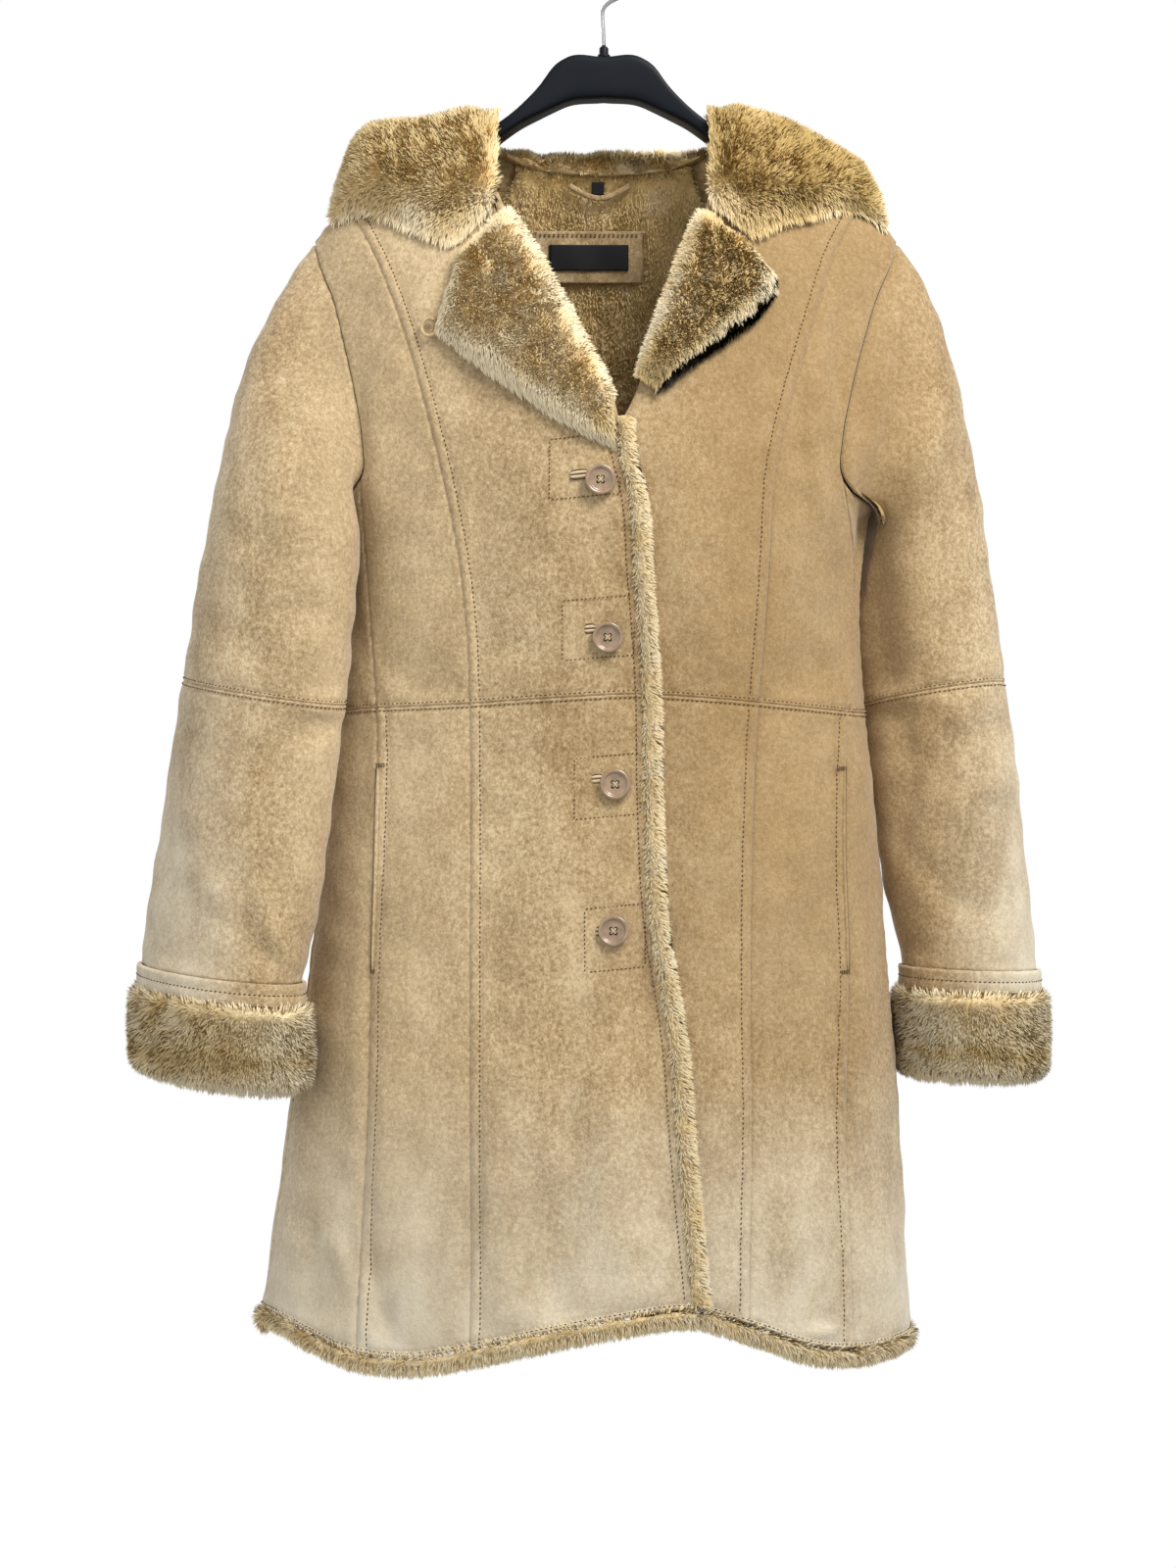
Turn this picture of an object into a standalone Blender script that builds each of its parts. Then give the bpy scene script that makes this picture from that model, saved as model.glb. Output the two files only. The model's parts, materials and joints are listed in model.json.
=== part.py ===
"""A hooded faux shearling coat on a plastic hanger, as separate closed solids.

Metres, +Z up, the front faces -Y. The origin is the inside top of the hanger's hook, so the coat hangs
below Z = 0. "left" and "right" are the sides that a viewer in front of the coat sees.

The body is one hollow oval form. A point on it is named by turn, in degrees round the body (0 centre front,
90 right side, 180 centre back, -90 left side), and by height. Above the armholes the right and left sides
of the form are the shoulder ridges. Every panel is a patch of that form between its seams.
"""

import bpy
import numpy as np

# ---------------------------------------------------------------- driving dimensions

WALL = 0.003              # suede with its backing
SEAM_GAP = 0.0003         # each panel stops this far short of its seam line
PILE = 0.008              # fur pile
LAY_GAP = 0.0012          # between a piece and what it lies on
OVERLAP_LIFT = 0.006      # the left front stands this far above the right one where they overlap
WAIST_Z = -0.550
HOOK_RADIUS = 0.0205      # to the middle of the wire
HOOK_WIRE = 0.0016
BUTTON_RADIUS = 0.0106
BUTTON_THICK = 0.0042

# The body's ovals: height, left and right side, front and back depth.
BODY = (
    (-1.000, -0.250, 0.222, 0.132, 0.112),
    (-0.960, -0.244, 0.219, 0.128, 0.108),
    (-0.890, -0.234, 0.216, 0.120, 0.103),
    (-0.820, -0.224, 0.212, 0.112, 0.098),
    (-0.750, -0.215, 0.207, 0.104, 0.093),
    (-0.680, -0.206, 0.201, 0.097, 0.088),
    (-0.610, -0.199, 0.195, 0.090, 0.083),
    (-0.550, -0.194, 0.189, 0.086, 0.078),
    (-0.460, -0.190, 0.186, 0.088, 0.078),
    (-0.420, -0.195, 0.191, 0.088, 0.079),
    (-0.380, -0.203, 0.200, 0.086, 0.079),
    (-0.340, -0.207, 0.205, 0.082, 0.078),
    (-0.300, -0.209, 0.208, 0.076, 0.075),
    (-0.260, -0.211, 0.212, 0.066, 0.070),
    (-0.230, -0.213, 0.215, 0.056, 0.063),
    (-0.212, -0.208, 0.211, 0.049, 0.058),
    (-0.190, -0.189, 0.189, 0.043, 0.054),
    (-0.164, -0.150, 0.150, 0.037, 0.048),
    (-0.140, -0.110, 0.110, 0.032, 0.042),
    (-0.122, -0.076, 0.076, 0.028, 0.038),
    (-0.110, -0.050, 0.050, 0.026, 0.036),
)

# Seams on the front: height, left princess, left side-front, right princess, right side-front (x).
FRONT_SEAMS = (
    (-1.000, -0.092, -0.171, 0.098, 0.173),
    (-0.940, -0.091, -0.169, 0.099, 0.172),
    (-0.860, -0.092, -0.165, 0.101, 0.169),
    (-0.740, -0.093, -0.163, 0.101, 0.172),
    (-0.640, -0.093, -0.161, 0.103, 0.170),
    (-0.550, -0.094, -0.161, 0.108, 0.174),
    (-0.500, -0.096, -0.165, 0.112, 0.179),
    (-0.440, -0.103, -0.170, 0.116, 0.180),
    (-0.390, -0.113, -0.174, 0.119, 0.175),
    (-0.350, -0.123, -0.174, 0.127, 0.175),
    (-0.310, -0.134, -0.174, 0.138, 0.175),
    (-0.270, -0.147, -0.174, 0.150, 0.175),
    (-0.230, -0.163, -0.174, 0.163, 0.175),
    (-0.186, -0.186, -0.174, 0.186, 0.175),
)

# Princess seams on the back: height, distance from the centre.
BACK_SEAMS = (
    (-1.000, 0.108),
    (-0.750, 0.096),
    (-0.550, 0.086),
    (-0.400, 0.104),
    (-0.300, 0.122),
    (-0.220, 0.143),
    (-0.174, 0.166),
)

# Front edges, neckline included: height, edge of the left front, edge of the right front (x).
FRONT_EDGES = (
    (-0.980, 0.062, 0.016),
    (-0.860, 0.051, 0.005),
    (-0.780, 0.045, -0.001),
    (-0.700, 0.033, -0.013),
    (-0.620, 0.029, -0.017),
    (-0.550, 0.028, -0.018),
    (-0.460, 0.022, -0.024),
    (-0.405, 0.018, -0.022),
    (-0.375, 0.011, -0.003),
    (-0.345, 0.008, 0.0165),
    (-0.300, -0.0155, 0.033),
    (-0.240, -0.0475, 0.055),
    (-0.195, -0.071, 0.072),
    (-0.172, -0.080, 0.080),
    (-0.150, -0.0875, 0.0875),
    (-0.130, -0.094, 0.094),
)

# The neck edge behind the shoulder ridges: turn from the front, height.
BACK_NECK = ((90, -0.130), (110, -0.1305), (130, -0.138), (145, -0.147), (160, -0.154), (180, -0.157))

# The hem: turn, height. The fronts are cut a little higher at the closure.
HEM = (
    (-180, -0.985), (-120, -0.984), (-90, -0.982), (-70, -0.979), (-56, -0.985), (-43, -0.994),
    (-30, -0.9945), (-20, -0.987), (-8, -0.9755), (4, -0.9655), (18, -0.960), (30, -0.974),
    (42, -0.990), (55, -0.9965), (70, -0.9965), (90, -0.998), (120, -0.992), (180, -0.985),
)

# The waist seam bows: turn, how far above WAIST_Z it lies. The bow fades out WAIST_BOW_REACH above and below.
WAIST_BOW = (
    (-180, 0.0), (-90, -0.0030), (-60, -0.0015), (-35, 0.0), (-10, 0.0040), (8, 0.0068), (25, 0.0040), (45, -0.0005),
    (70, -0.0040), (90, -0.0035), (180, 0.0),
)
WAIST_BOW_REACH = 0.135

SIDE_SEAM = ((-1.000, 80.0), (-0.550, 84.0), (-0.405, 90.0))   # height, turn from the front

# The armhole, as an angle round it (0 at the shoulder, 180 under the arm): angle, spread in turn.
ARMHOLE_MIDDLE_Z = -0.3095
ARMHOLE_HALF_HEIGHT = 0.0955
ARMHOLE = (
    (0, 0.0), (25, 12.0), (56, 22.8), (78, 27.5), (100, 31.5), (122, 33.5), (147, 31.0), (165, 20.0), (180, 0.0),
)
ARMHOLE_STOPS = (0, 27, 50, 72, 94, 116, 133, 147, 158, 167, 174, 180)
SIDE_FRONT_ANGLE = 147    # where the side-front seam meets the armhole

# Sleeve ovals: height, middle x (from the centre) and y, half width, half depth, turn of the oval.
SLEEVES = {
    "left": (
        (-0.430, 0.2275, -0.038, 0.0600, 0.043, 35.0),
        (-0.540, 0.2410, -0.040, 0.0650, 0.043, 32.0),
        (-0.640, 0.2550, -0.042, 0.0660, 0.042, 30.0),
        (-0.740, 0.2705, -0.046, 0.0625, 0.040, 28.0),
    ),
    "right": (
        (-0.430, 0.2240, 0.026, 0.0560, 0.042, -33.0),
        (-0.540, 0.2385, 0.021, 0.0560, 0.042, -27.0),
        (-0.640, 0.2520, 0.014, 0.0530, 0.043, -18.0),
        (-0.740, 0.2660, 0.006, 0.0480, 0.043, -8.0),
    ),
}
SLEEVE_TOP_Z = -0.430
SLEEVE_CLEARANCE = 0.0030 # from the body, where the sleeve lies against it
UNDERARM_PHASE = {"left": 32.0, "right": -32.0}    # keeps the underarm point beside the body's side seam
SLEEVE_TILT = {"left": 0.16, "right": 0.16}    # the outer side of each oval is higher
ELBOW_Z = -0.540
SLEEVE_END_Z = -0.738
CUFF_TILT = {"left": 0.10, "right": -0.03}
BAND_HEIGHT = 0.015
BAND_PROUD = 0.0036
CUFF_HEIGHT = {"left": 0.057, "right": 0.060}
CUFF_PROUD = 0.0085
CUFF_THICK = 0.015

# Hood wings: distance from the centre, top, front edge, back edge (heights).
WINGS = {
    "left": (
        (0.0775, -0.1200, -0.195, -0.180),
        (0.0900, -0.1150, -0.207, -0.190),
        (0.1040, -0.1165, -0.220, -0.198),
        (0.1270, -0.1220, -0.214, -0.204),
        (0.1520, -0.1240, -0.201, -0.206),
        (0.1690, -0.1280, -0.195, -0.206),
        (0.1830, -0.1450, -0.196, -0.204),
        (0.1950, -0.1730, -0.200, -0.202),
    ),
    "right": (
        (0.0765, -0.1180, -0.192, -0.180),
        (0.0880, -0.1130, -0.201, -0.190),
        (0.1030, -0.1155, -0.214, -0.198),
        (0.1280, -0.1230, -0.204, -0.204),
        (0.1530, -0.1350, -0.198, -0.206),
        (0.1720, -0.1460, -0.192, -0.206),
        (0.1900, -0.1580, -0.196, -0.206),
        (0.2010, -0.1760, -0.204, -0.208),
    ),
}
WING_EDGE_THICK = 0.012
WING_LEAN = 75.0          # how far the wing's layers lean from upright at its front and back edges

# Lapels: roll line x, height, outer edge x, height, from the notch down to the crossing.
LAPELS = {
    "left": (
        (-0.0695, -0.203, -0.101, -0.237),
        (-0.060, -0.218, -0.106, -0.253),
        (-0.050, -0.236, -0.112, -0.272),
        (-0.040, -0.255, -0.115, -0.288),
        (-0.030, -0.274, -0.090, -0.307),
        (-0.020, -0.293, -0.062, -0.327),
        (-0.010, -0.312, -0.036, -0.346),
        (-0.002, -0.327, -0.012, -0.361),
        (0.004, -0.338, 0.005, -0.369),
    ),
    "right": (
        (0.070, -0.204, 0.096, -0.227),
        (0.065, -0.216, 0.108, -0.237),
        (0.060, -0.229, 0.118, -0.249),
        (0.054, -0.245, 0.117, -0.262),
        (0.047, -0.264, 0.097, -0.282),
        (0.040, -0.283, 0.074, -0.299),
        (0.032, -0.303, 0.053, -0.315),
        (0.025, -0.322, 0.037, -0.330),
    ),
}
LAPEL_THICK = 0.012
LAPEL_GAP = 0.0022
LAPEL_ROLL_OUT = 0.004    # how far the lapel passes the front's edge at the roll line

# The laid-back hood's pouch: half width and depth of its rim, heights at the sides and the middle.
POUCH_HALF_WIDTH = 0.200
POUCH_DEPTH = 0.128
POUCH_TURNS = (113.0, 180.0)
POUCH_RIM_Z = (-0.168, -0.188)
POUCH_BOTTOM_Z = (-0.235, -0.365)

# Back-neck roll, in a plane across the neck edge: outward from the panel, up from its edge.
NECK_ROLL_UNDER = ((-0.0110, 0.0010), (-0.0030, 0.0010), (0.0018, 0.0010), (0.0028, -0.0100), (0.0028, -0.0300))
NECK_ROLL_OVER = ((-0.0125, 0.0040), (-0.0090, 0.0160), (0.0020, 0.0200), (0.0125, 0.0120), (0.0135, -0.0280))
NECK_ROLL_TOP_Z = -0.137  # its top is level
NECK_ROLL_TURN = 141.0    # its ends, as turn from the front

# Lining fur inside the back: half width, lowest height.
LINING_HALF_WIDTH = 0.092
LINING_LOW_Z = -0.400
LINING_GAP = 0.0018

# Hanger arm: distance from the centre, top, bottom, half depth, squareness of its section.
HANGER = (
    (0.000, -0.0800, -0.110, 0.0110, 6.0),
    (0.027, -0.0805, -0.113, 0.0110, 6.0),
    (0.036, -0.0866, -0.117, 0.0112, 6.0),
    (0.0465, -0.1008, -0.122, 0.0115, 6.0),
    (0.060, -0.1150, -0.129, 0.0120, 5.0),
    (0.079, -0.1300, -0.1430, 0.0120, 4.0),
    (0.110, -0.1520, -0.170, 0.0120, 2.6),
    (0.150, -0.1775, -0.198, 0.0125, 2.4),
    (0.180, -0.2000, -0.220, 0.0120, 2.2),
    (0.192, -0.2120, -0.226, 0.0090, 2.0),
)

BUTTONS = ((-0.003, -0.397, 12.0), (0.002, -0.504, 0.0), (0.007, -0.606, 0.0), (0.006, -0.706, -12.0))
BUTTON_HOLE_RADIUS = 0.0010
BUTTON_HOLE_SPACING = 0.0021

PATCH = (-0.0517, 0.0296, -0.2288, -0.1930)        # left, right, bottom, top
LABEL = (-0.0410, 0.0190, -0.2195, -0.2030)
SIZE_TAB = (-0.0090, 0.0005, -0.1670, -0.1575)
HANGING_LOOP = ((-0.0260, -0.1600), (-0.0160, -0.1655), (-0.0030, -0.1690), (0.0100, -0.1655), (0.0200, -0.1600))

PANEL_COLUMNS = 4
LOWER_ROWS = (0.0, 0.16, 0.35, 0.55, 0.78, 1.0)
ROWS_BELOW_ARMHOLE = 5
PRINCESS_TOP_LEVELS = (-0.186, -0.192, -0.208, -0.238, -0.278, -0.322, -0.358, -0.388)
FRONT_EDGE_TOP_LEVELS = (-0.130, -0.136, -0.155, -0.192, -0.245, -0.300, -0.345, -0.380)
BACK_PRINCESS_TOP_LEVELS = (
    -0.174, -0.180, -0.194, -0.218, -0.250, -0.284, -0.314, -0.340, -0.360, -0.377, -0.392, -0.405,
)

# ---------------------------------------------------------------- numbers along tables and curves


def read(rows, column, at):
    """Smooth value of a column of a table, at values of its first column."""
    table = np.array(sorted(rows), float)
    keys = table[:, 0]
    values = table[:, column]
    slopes = np.gradient(values, keys)
    at = np.asarray(at, float)
    i = np.clip(np.searchsorted(keys, at, side="right") - 1, 0, len(keys) - 2)
    step = keys[i + 1] - keys[i]
    s = np.clip((at - keys[i]) / step, 0.0, 1.0)
    start = (1 + 2 * s) * (1 - s) ** 2 * values[i] + s * (1 - s) ** 2 * step * slopes[i]
    end = s * s * (3 - 2 * s) * values[i + 1] + s * s * (s - 1) * step * slopes[i + 1]
    return start + end


def ease(value, low, high):
    """0 below low, 1 above high, smooth between."""
    s = np.clip((np.asarray(value, float) - low) / (high - low), 0.0, 1.0)
    return s * s * (3 - 2 * s)


def unit(vectors):
    return vectors / np.linalg.norm(vectors, axis=-1, keepdims=True)


# ---------------------------------------------------------------- the body's form


def body_oval(z):
    """Middle, half width, front depth and back depth at a height."""
    left = read(BODY, 1, z)
    right = read(BODY, 2, z)
    return (left + right) / 2, (right - left) / 2, read(BODY, 3, z), read(BODY, 4, z)


def body(turn, z):
    middle, half, front, back = body_oval(z)
    angle = np.radians(turn)
    depth = np.where(np.cos(angle) > 0, front, back)
    x = middle + half * np.sin(angle)
    return np.stack([x, -depth * np.cos(angle), np.broadcast_to(z, x.shape)], -1)


def body_normal(turn, z):
    turn = np.asarray(turn, float)
    z = np.asarray(z, float)
    along = body(turn + 0.5, z) - body(turn - 0.5, z)
    up = body(turn, z + 0.001) - body(turn, z - 0.001)
    return unit(np.cross(along, up))


def front_turn(x, z):
    """The turn at which the front of the body has this x."""
    middle, half, _, _ = body_oval(z)
    return np.degrees(np.arcsin(np.clip((x - middle) / half, -1.0, 1.0)))


def overlap_lift(x, z):
    """How far the left front stands off the body, over the right front's edge."""
    hidden_edge = read(FRONT_EDGES, 2, z)
    return OVERLAP_LIFT * ease(x, hidden_edge - 0.070, hidden_edge - 0.004) * ease(-z, 0.290, 0.335)


def on_body(turn, z, out, lifted=False):
    """Points out from the body's surface, with the left front's lift where asked."""
    points = body(turn, z)
    rise = out + (overlap_lift(points[..., 0], points[..., 2]) if lifted else 0.0)
    return points + body_normal(turn, z) * np.asarray(rise)[..., None]


def ridge_z(x):
    """Height of the shoulder ridge at a distance from the centre."""
    heights = np.linspace(-0.214, -0.112, 60)
    _, halves, _, _ = body_oval(heights)
    return np.interp(-np.abs(x), -halves, heights)


def clear_of_body(points, gap):
    """Moves points that are inside the body, or nearer to it than gap, out to that gap."""
    middle, half, front, back = body_oval(points[..., 2])
    depth = np.where(points[..., 1] < 0, front, back)
    across = points[..., 0] - middle
    reach = np.hypot(across / half, points[..., 1] / depth)
    slope = np.stack([across / half ** 2, points[..., 1] / depth ** 2, np.zeros(reach.shape)], -1)
    steepness = np.linalg.norm(slope, axis=-1)
    push = np.maximum(gap - (reach - 1) * reach / steepness, 0.0)
    return points + slope * (push / steepness)[..., None]


def armhole(angle, side, behind):
    """Turn and height of an armhole point; side is -1 or 1."""
    z = ARMHOLE_MIDDLE_Z + ARMHOLE_HALF_HEIGHT * np.cos(np.radians(angle))
    spread = read(ARMHOLE, 1, angle)
    return side * (90.0 + spread if behind else 90.0 - spread), z


# ---------------------------------------------------------------- meshes


def add_object(name, vertices, faces, material, smooth=True):
    mesh = bpy.data.meshes.new(name)
    mesh.from_pydata([tuple(map(float, v)) for v in vertices], [], faces)
    mesh.validate()
    mesh.materials.append(material)
    if smooth:
        mesh.shade_smooth()
        mesh.set_sharp_from_angle(angle=np.radians(50))
    piece = bpy.data.objects.new(name, mesh)
    bpy.context.scene.collection.objects.link(piece)
    if signed_volume(mesh) < 0:
        mesh.flip_normals()
    return piece


def signed_volume(mesh):
    mesh.calc_loop_triangles()
    corners = np.array([[mesh.vertices[i].co[:] for i in t.vertices] for t in mesh.loop_triangles])
    return float(np.einsum("ij,ij->i", corners[:, 0], np.cross(corners[:, 1], corners[:, 2])).sum() / 6)


def add_shell(name, outer, inner, material, ring=False):
    """A wall between two grids of points; ring closes it round on itself along its columns."""
    rows, columns = outer.shape[:2]
    vertices = np.concatenate([outer.reshape(-1, 3), inner.reshape(-1, 3)])
    offset = rows * columns
    spans = columns if ring else columns - 1
    faces = []
    for r in range(rows - 1):
        for c in range(spans):
            d = (c + 1) % columns
            a, b, e, f = r * columns + c, r * columns + d, (r + 1) * columns + d, (r + 1) * columns + c
            faces.append((a, b, e, f))
            faces.append((offset + a, offset + f, offset + e, offset + b))
    for c in range(spans):
        d = (c + 1) % columns
        last = (rows - 1) * columns
        faces.append((c, offset + c, offset + d, d))
        faces.append((last + d, offset + last + d, offset + last + c, last + c))
    if not ring:
        for r in range(rows - 1):
            a, b = r * columns, (r + 1) * columns
            faces.append((b, offset + b, offset + a, a))
            faces.append((a + columns - 1, offset + a + columns - 1, offset + b + columns - 1, b + columns - 1))
    return add_object(name, vertices, faces, material)


def add_sweep(name, rings, material):
    """A solid through closed rings of points, capped at both ends."""
    count, around = rings.shape[:2]
    faces = [tuple(range(around))[::-1], tuple(range((count - 1) * around, count * around))]
    for r in range(count - 1):
        for c in range(around):
            d = (c + 1) % around
            faces.append((r * around + c, r * around + d, (r + 1) * around + d, (r + 1) * around + c))
    return add_object(name, rings.reshape(-1, 3), faces, material)


def square_to(line, inward):
    """The inward directions from a line, made square to it."""
    along = unit(np.gradient(line, axis=0))
    return unit(inward - along * (inward * along).sum(-1, keepdims=True))


def pull_in(points, gap=SEAM_GAP):
    """Moves a grid's border points towards the grid, so that neighbours don't touch."""
    moved = points.copy()
    for border, inside in ((0, 1), (-1, -2)):
        moved[border] += square_to(points[border], points[inside] - points[border]) * gap
        moved[:, border] += square_to(points[:, border], points[:, inside] - points[:, border]) * gap
    return moved


def grid_normals(points, ring=False):
    if ring:
        across = np.roll(points, -1, 1) - np.roll(points, 1, 1)
    else:
        across = np.gradient(points, axis=1)
    return unit(np.cross(across, np.gradient(points, axis=0)))


def tube_rings(path, radius, around=8, flat=1.0):
    """Rings round a path; flat below 1 makes a strap."""
    path = np.asarray(path, float)
    ahead = unit(np.gradient(path, axis=0))
    side = unit(np.cross(ahead[0], (0.0, 1.0, 0.01)))
    rings = []
    for point, direction in zip(path, ahead):
        side = unit(side - direction * np.dot(side, direction))
        other = np.cross(direction, side)
        angles = np.arange(around) * 2 * np.pi / around
        offsets = np.outer(np.cos(angles), side) * radius + np.outer(np.sin(angles), other) * radius * flat
        rings.append(point + offsets)
    return np.array(rings)


# ---------------------------------------------------------------- materials

COLOURS = {
    "suede": ((0.50, 0.36, 0.20), 0.95, 0.0),
    "fur": ((0.62, 0.46, 0.24), 1.0, 0.0),
    "button": ((0.36, 0.23, 0.14), 0.35, 0.0),
    "label": ((0.02, 0.02, 0.02), 0.8, 0.0),
    "plastic": ((0.012, 0.016, 0.028), 0.45, 0.0),
    "steel": ((0.62, 0.62, 0.62), 0.28, 1.0),
}


def make_material(name, finish):
    """A material of its own for each object, in one of the coat's finishes."""
    colour, roughness, metallic = COLOURS[finish]
    material = bpy.data.materials.new(name)
    material.use_nodes = True
    shader = material.node_tree.nodes["Principled BSDF"]
    shader.inputs["Base Color"].default_value = (*colour, 1.0)
    shader.inputs["Roughness"].default_value = roughness
    shader.inputs["Metallic"].default_value = metallic
    return material


# ---------------------------------------------------------------- body panels

SIDES = {"left": -1, "right": 1}


def front_seam(column, levels):
    """Turn and height along a front seam."""
    z = np.asarray(levels, float)
    return np.stack([front_turn(read(FRONT_SEAMS, column, z), z), z], -1)


def back_seam(side, levels):
    z = np.asarray(levels, float)
    middle, half, _, _ = body_oval(z)
    x = side * read(BACK_SEAMS, 1, z)
    return np.stack([side * 180.0 - np.degrees(np.arcsin(np.clip((x - middle) / half, -1, 1))), z], -1)


def side_seam(side, levels):
    z = np.asarray(levels, float)
    return np.stack([side * read(SIDE_SEAM, 1, z), z], -1)


def centre_back(side, levels):
    z = np.asarray(levels, float)
    return np.stack([np.full(z.shape, side * 180.0), z], -1)


def front_edge(column, levels):
    z = np.asarray(levels, float)
    return np.stack([front_turn(read(FRONT_EDGES, column, z), z), z], -1)


def armhole_line(side, behind, stops=ARMHOLE_STOPS):
    return np.array([armhole(a, side, behind) for a in stops])


def hem_z(turn):
    return read(HEM, 1, turn)


def to_hem(seam, *where):
    """A seam from the waist to the hem, at the lower panels' rows."""
    low = -0.985
    for _ in range(4):
        low = float(hem_z(seam(*where, [low])[0, 0]))
    return seam(*where, WAIST_Z + (low - WAIST_Z) * np.array(LOWER_ROWS))


def patch(start, end, top=None, bottom=None):
    """A grid of turns and heights between two seams, whose first row follows top and last row bottom."""
    columns = PANEL_COLUMNS + 1 if top is None else len(top)
    share = np.linspace(0.0, 1.0, columns)[None, :, None]
    grid = start[:, None] * (1 - share) + end[:, None] * share
    rows = len(start)
    if top is not None:
        fade = np.clip(1 - np.arange(rows) / 5.0, 0, 1)[:, None, None] ** 2
        grid = grid + fade * (top - grid[0])
    if bottom is not None:
        fade = np.linspace(0, 1, rows)[:, None, None] ** 2
        grid = grid + fade * (bottom(grid[-1]) - grid[-1])
    return grid


def on_hem(row):
    """A lower panel's last row, brought to the hem's height."""
    return np.stack([row[:, 0], hem_z(row[:, 0])], -1)


def bowed(turn, z):
    """Heights with the waist seam's bow."""
    return z + read(WAIST_BOW, 1, turn) * (1 - ease(np.abs(z - WAIST_Z), 0.0, WAIST_BOW_REACH))


def add_panel(name, grid, lifted=False):
    turn = grid[..., 0]
    z = bowed(turn, grid[..., 1])
    outer = pull_in(on_body(turn, z, 0.0, lifted))
    inner = outer - body_normal(turn, z) * WALL
    return add_shell(name, outer, inner, make_material(name, "suede"))


def add_front_panels(side_name, side):
    princess, side_front, edge = (1, 2, 1) if side < 0 else (3, 4, 2)
    lifted = side < 0
    below = rows_to_waist(armhole(SIDE_FRONT_ANGLE, side, False)[1])
    princess_upper = front_seam(princess, np.append(PRINCESS_TOP_LEVELS, below))
    princess_upper[0, 0] = side * 90.0
    edge_upper = front_edge(edge, np.append(FRONT_EDGE_TOP_LEVELS, below))
    edge_upper[0, 0] = side * 90.0
    add_panel(f"front_centre_upper_{side_name}", patch(princess_upper, edge_upper), lifted)

    joint = ARMHOLE_STOPS.index(SIDE_FRONT_ANGLE)
    outer_line = armhole_line(side, False, ARMHOLE_STOPS[: joint + 1])
    low_seam = front_seam(side_front, below)
    start = front_seam(side_front, outer_line[-1:, 1])[0, 0]
    fade = np.linspace(1, 0, len(low_seam) + 1)[1:] ** 2
    low_seam[:, 0] += fade * (outer_line[-1, 0] - start)
    add_panel(f"front_side_upper_{side_name}", patch(np.concatenate([outer_line, low_seam]), princess_upper))

    under = armhole_line(side, False, ARMHOLE_STOPS[joint:])
    start_line = np.concatenate([outer_line[-1:], low_seam])
    top_z = side_top_z()
    end_line = side_seam(side, np.append(top_z, rows_to_waist(top_z)))
    add_panel(f"side_upper_{side_name}", patch(start_line, end_line, top=under))

    seams = (
        ("front_centre_lower", (front_edge, edge), (front_seam, princess)),
        ("front_side_lower", (front_seam, princess), (front_seam, side_front)),
        ("side_lower", (front_seam, side_front), (side_seam, side)),
    )
    for name, start, end in seams:
        grid = patch(to_hem(*start), to_hem(*end), bottom=on_hem)
        add_panel(f"{name}_{side_name}", grid, lifted and name == "front_centre_lower")


def side_top_z():
    """Height of the armhole's lowest point, where the side seam starts."""
    return ARMHOLE_MIDDLE_Z - ARMHOLE_HALF_HEIGHT


def rows_to_waist(z):
    """Heights of the rows below z, down to the waist."""
    return np.linspace(z, WAIST_Z, ROWS_BELOW_ARMHOLE + 1)[1:]


def add_back_panels(side_name, side):
    below = rows_to_waist(side_top_z())
    princess_upper = back_seam(side, np.append(BACK_PRINCESS_TOP_LEVELS, below))
    princess_upper[0, 0] = side * 90.0
    outer_line = np.concatenate([armhole_line(side, True), side_seam(side, below)])
    add_panel(f"back_side_upper_{side_name}", patch(outer_line, princess_upper))

    neck_turns = np.array([90.0, 108.0, 126.0, 141.0, 156.0, 168.0, 180.0])
    neck = np.stack([side * neck_turns, read(BACK_NECK, 1, neck_turns)], -1)
    top = np.concatenate([princess_upper[:1], neck])
    middle_levels = neck[-1, 1] + (WAIST_Z - neck[-1, 1]) * np.linspace(0.0, 1.0, len(princess_upper)) ** 1.35
    add_panel(f"back_centre_upper_{side_name}", patch(princess_upper, centre_back(side, middle_levels), top=top))

    for name, start, end in (
        ("back_side_lower", (side_seam, side), (back_seam, side)),
        ("back_centre_lower", (back_seam, side), (centre_back, side)),
    ):
        add_panel(f"{name}_{side_name}", patch(to_hem(*start), to_hem(*end), bottom=on_hem))


# ---------------------------------------------------------------- sleeves and cuffs


def sleeve_angles():
    """Angles round a sleeve: over the front from the shoulder to under the arm, and back behind."""
    front = np.array(ARMHOLE_STOPS, float)
    return np.concatenate([front, 360.0 - front[1:-1][::-1]])


def sleeve_ring(side_name, z, angles, out=0.0, tilt=None):
    """A ring round the sleeve at a height; out is added to its half width and depth."""
    side = SIDES[side_name]
    rows = SLEEVES[side_name]
    middle_x, middle_y, wide, deep, turned = (float(read(rows, k, z)) for k in range(1, 6))
    turned = np.radians(turned)
    outward = np.array([side * np.cos(turned), np.sin(turned), 0.0])
    forward = np.array([side * np.sin(turned), -np.cos(turned), 0.0])
    phase = np.radians(UNDERARM_PHASE[side_name]) * (1 - np.cos(np.radians(angles))) / 2
    around = np.radians(angles) + turned + phase
    across = (wide + out) * np.cos(around)
    points = np.outer(across, outward) + np.outer((deep + out) * np.sin(around), forward)
    points += (side * middle_x, middle_y, z)
    points[:, 2] += (SLEEVE_TILT[side_name] if tilt is None else tilt) * across
    return clear_of_body(points, SLEEVE_CLEARANCE)


def armhole_ring(side_name, angles):
    side = SIDES[side_name]
    points = []
    for angle in angles:
        turn, z = armhole(min(angle, 360.0 - angle), side, angle > 180.0)
        points.append(body(np.array(turn), np.array(z)))
    return np.array(points)


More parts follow.
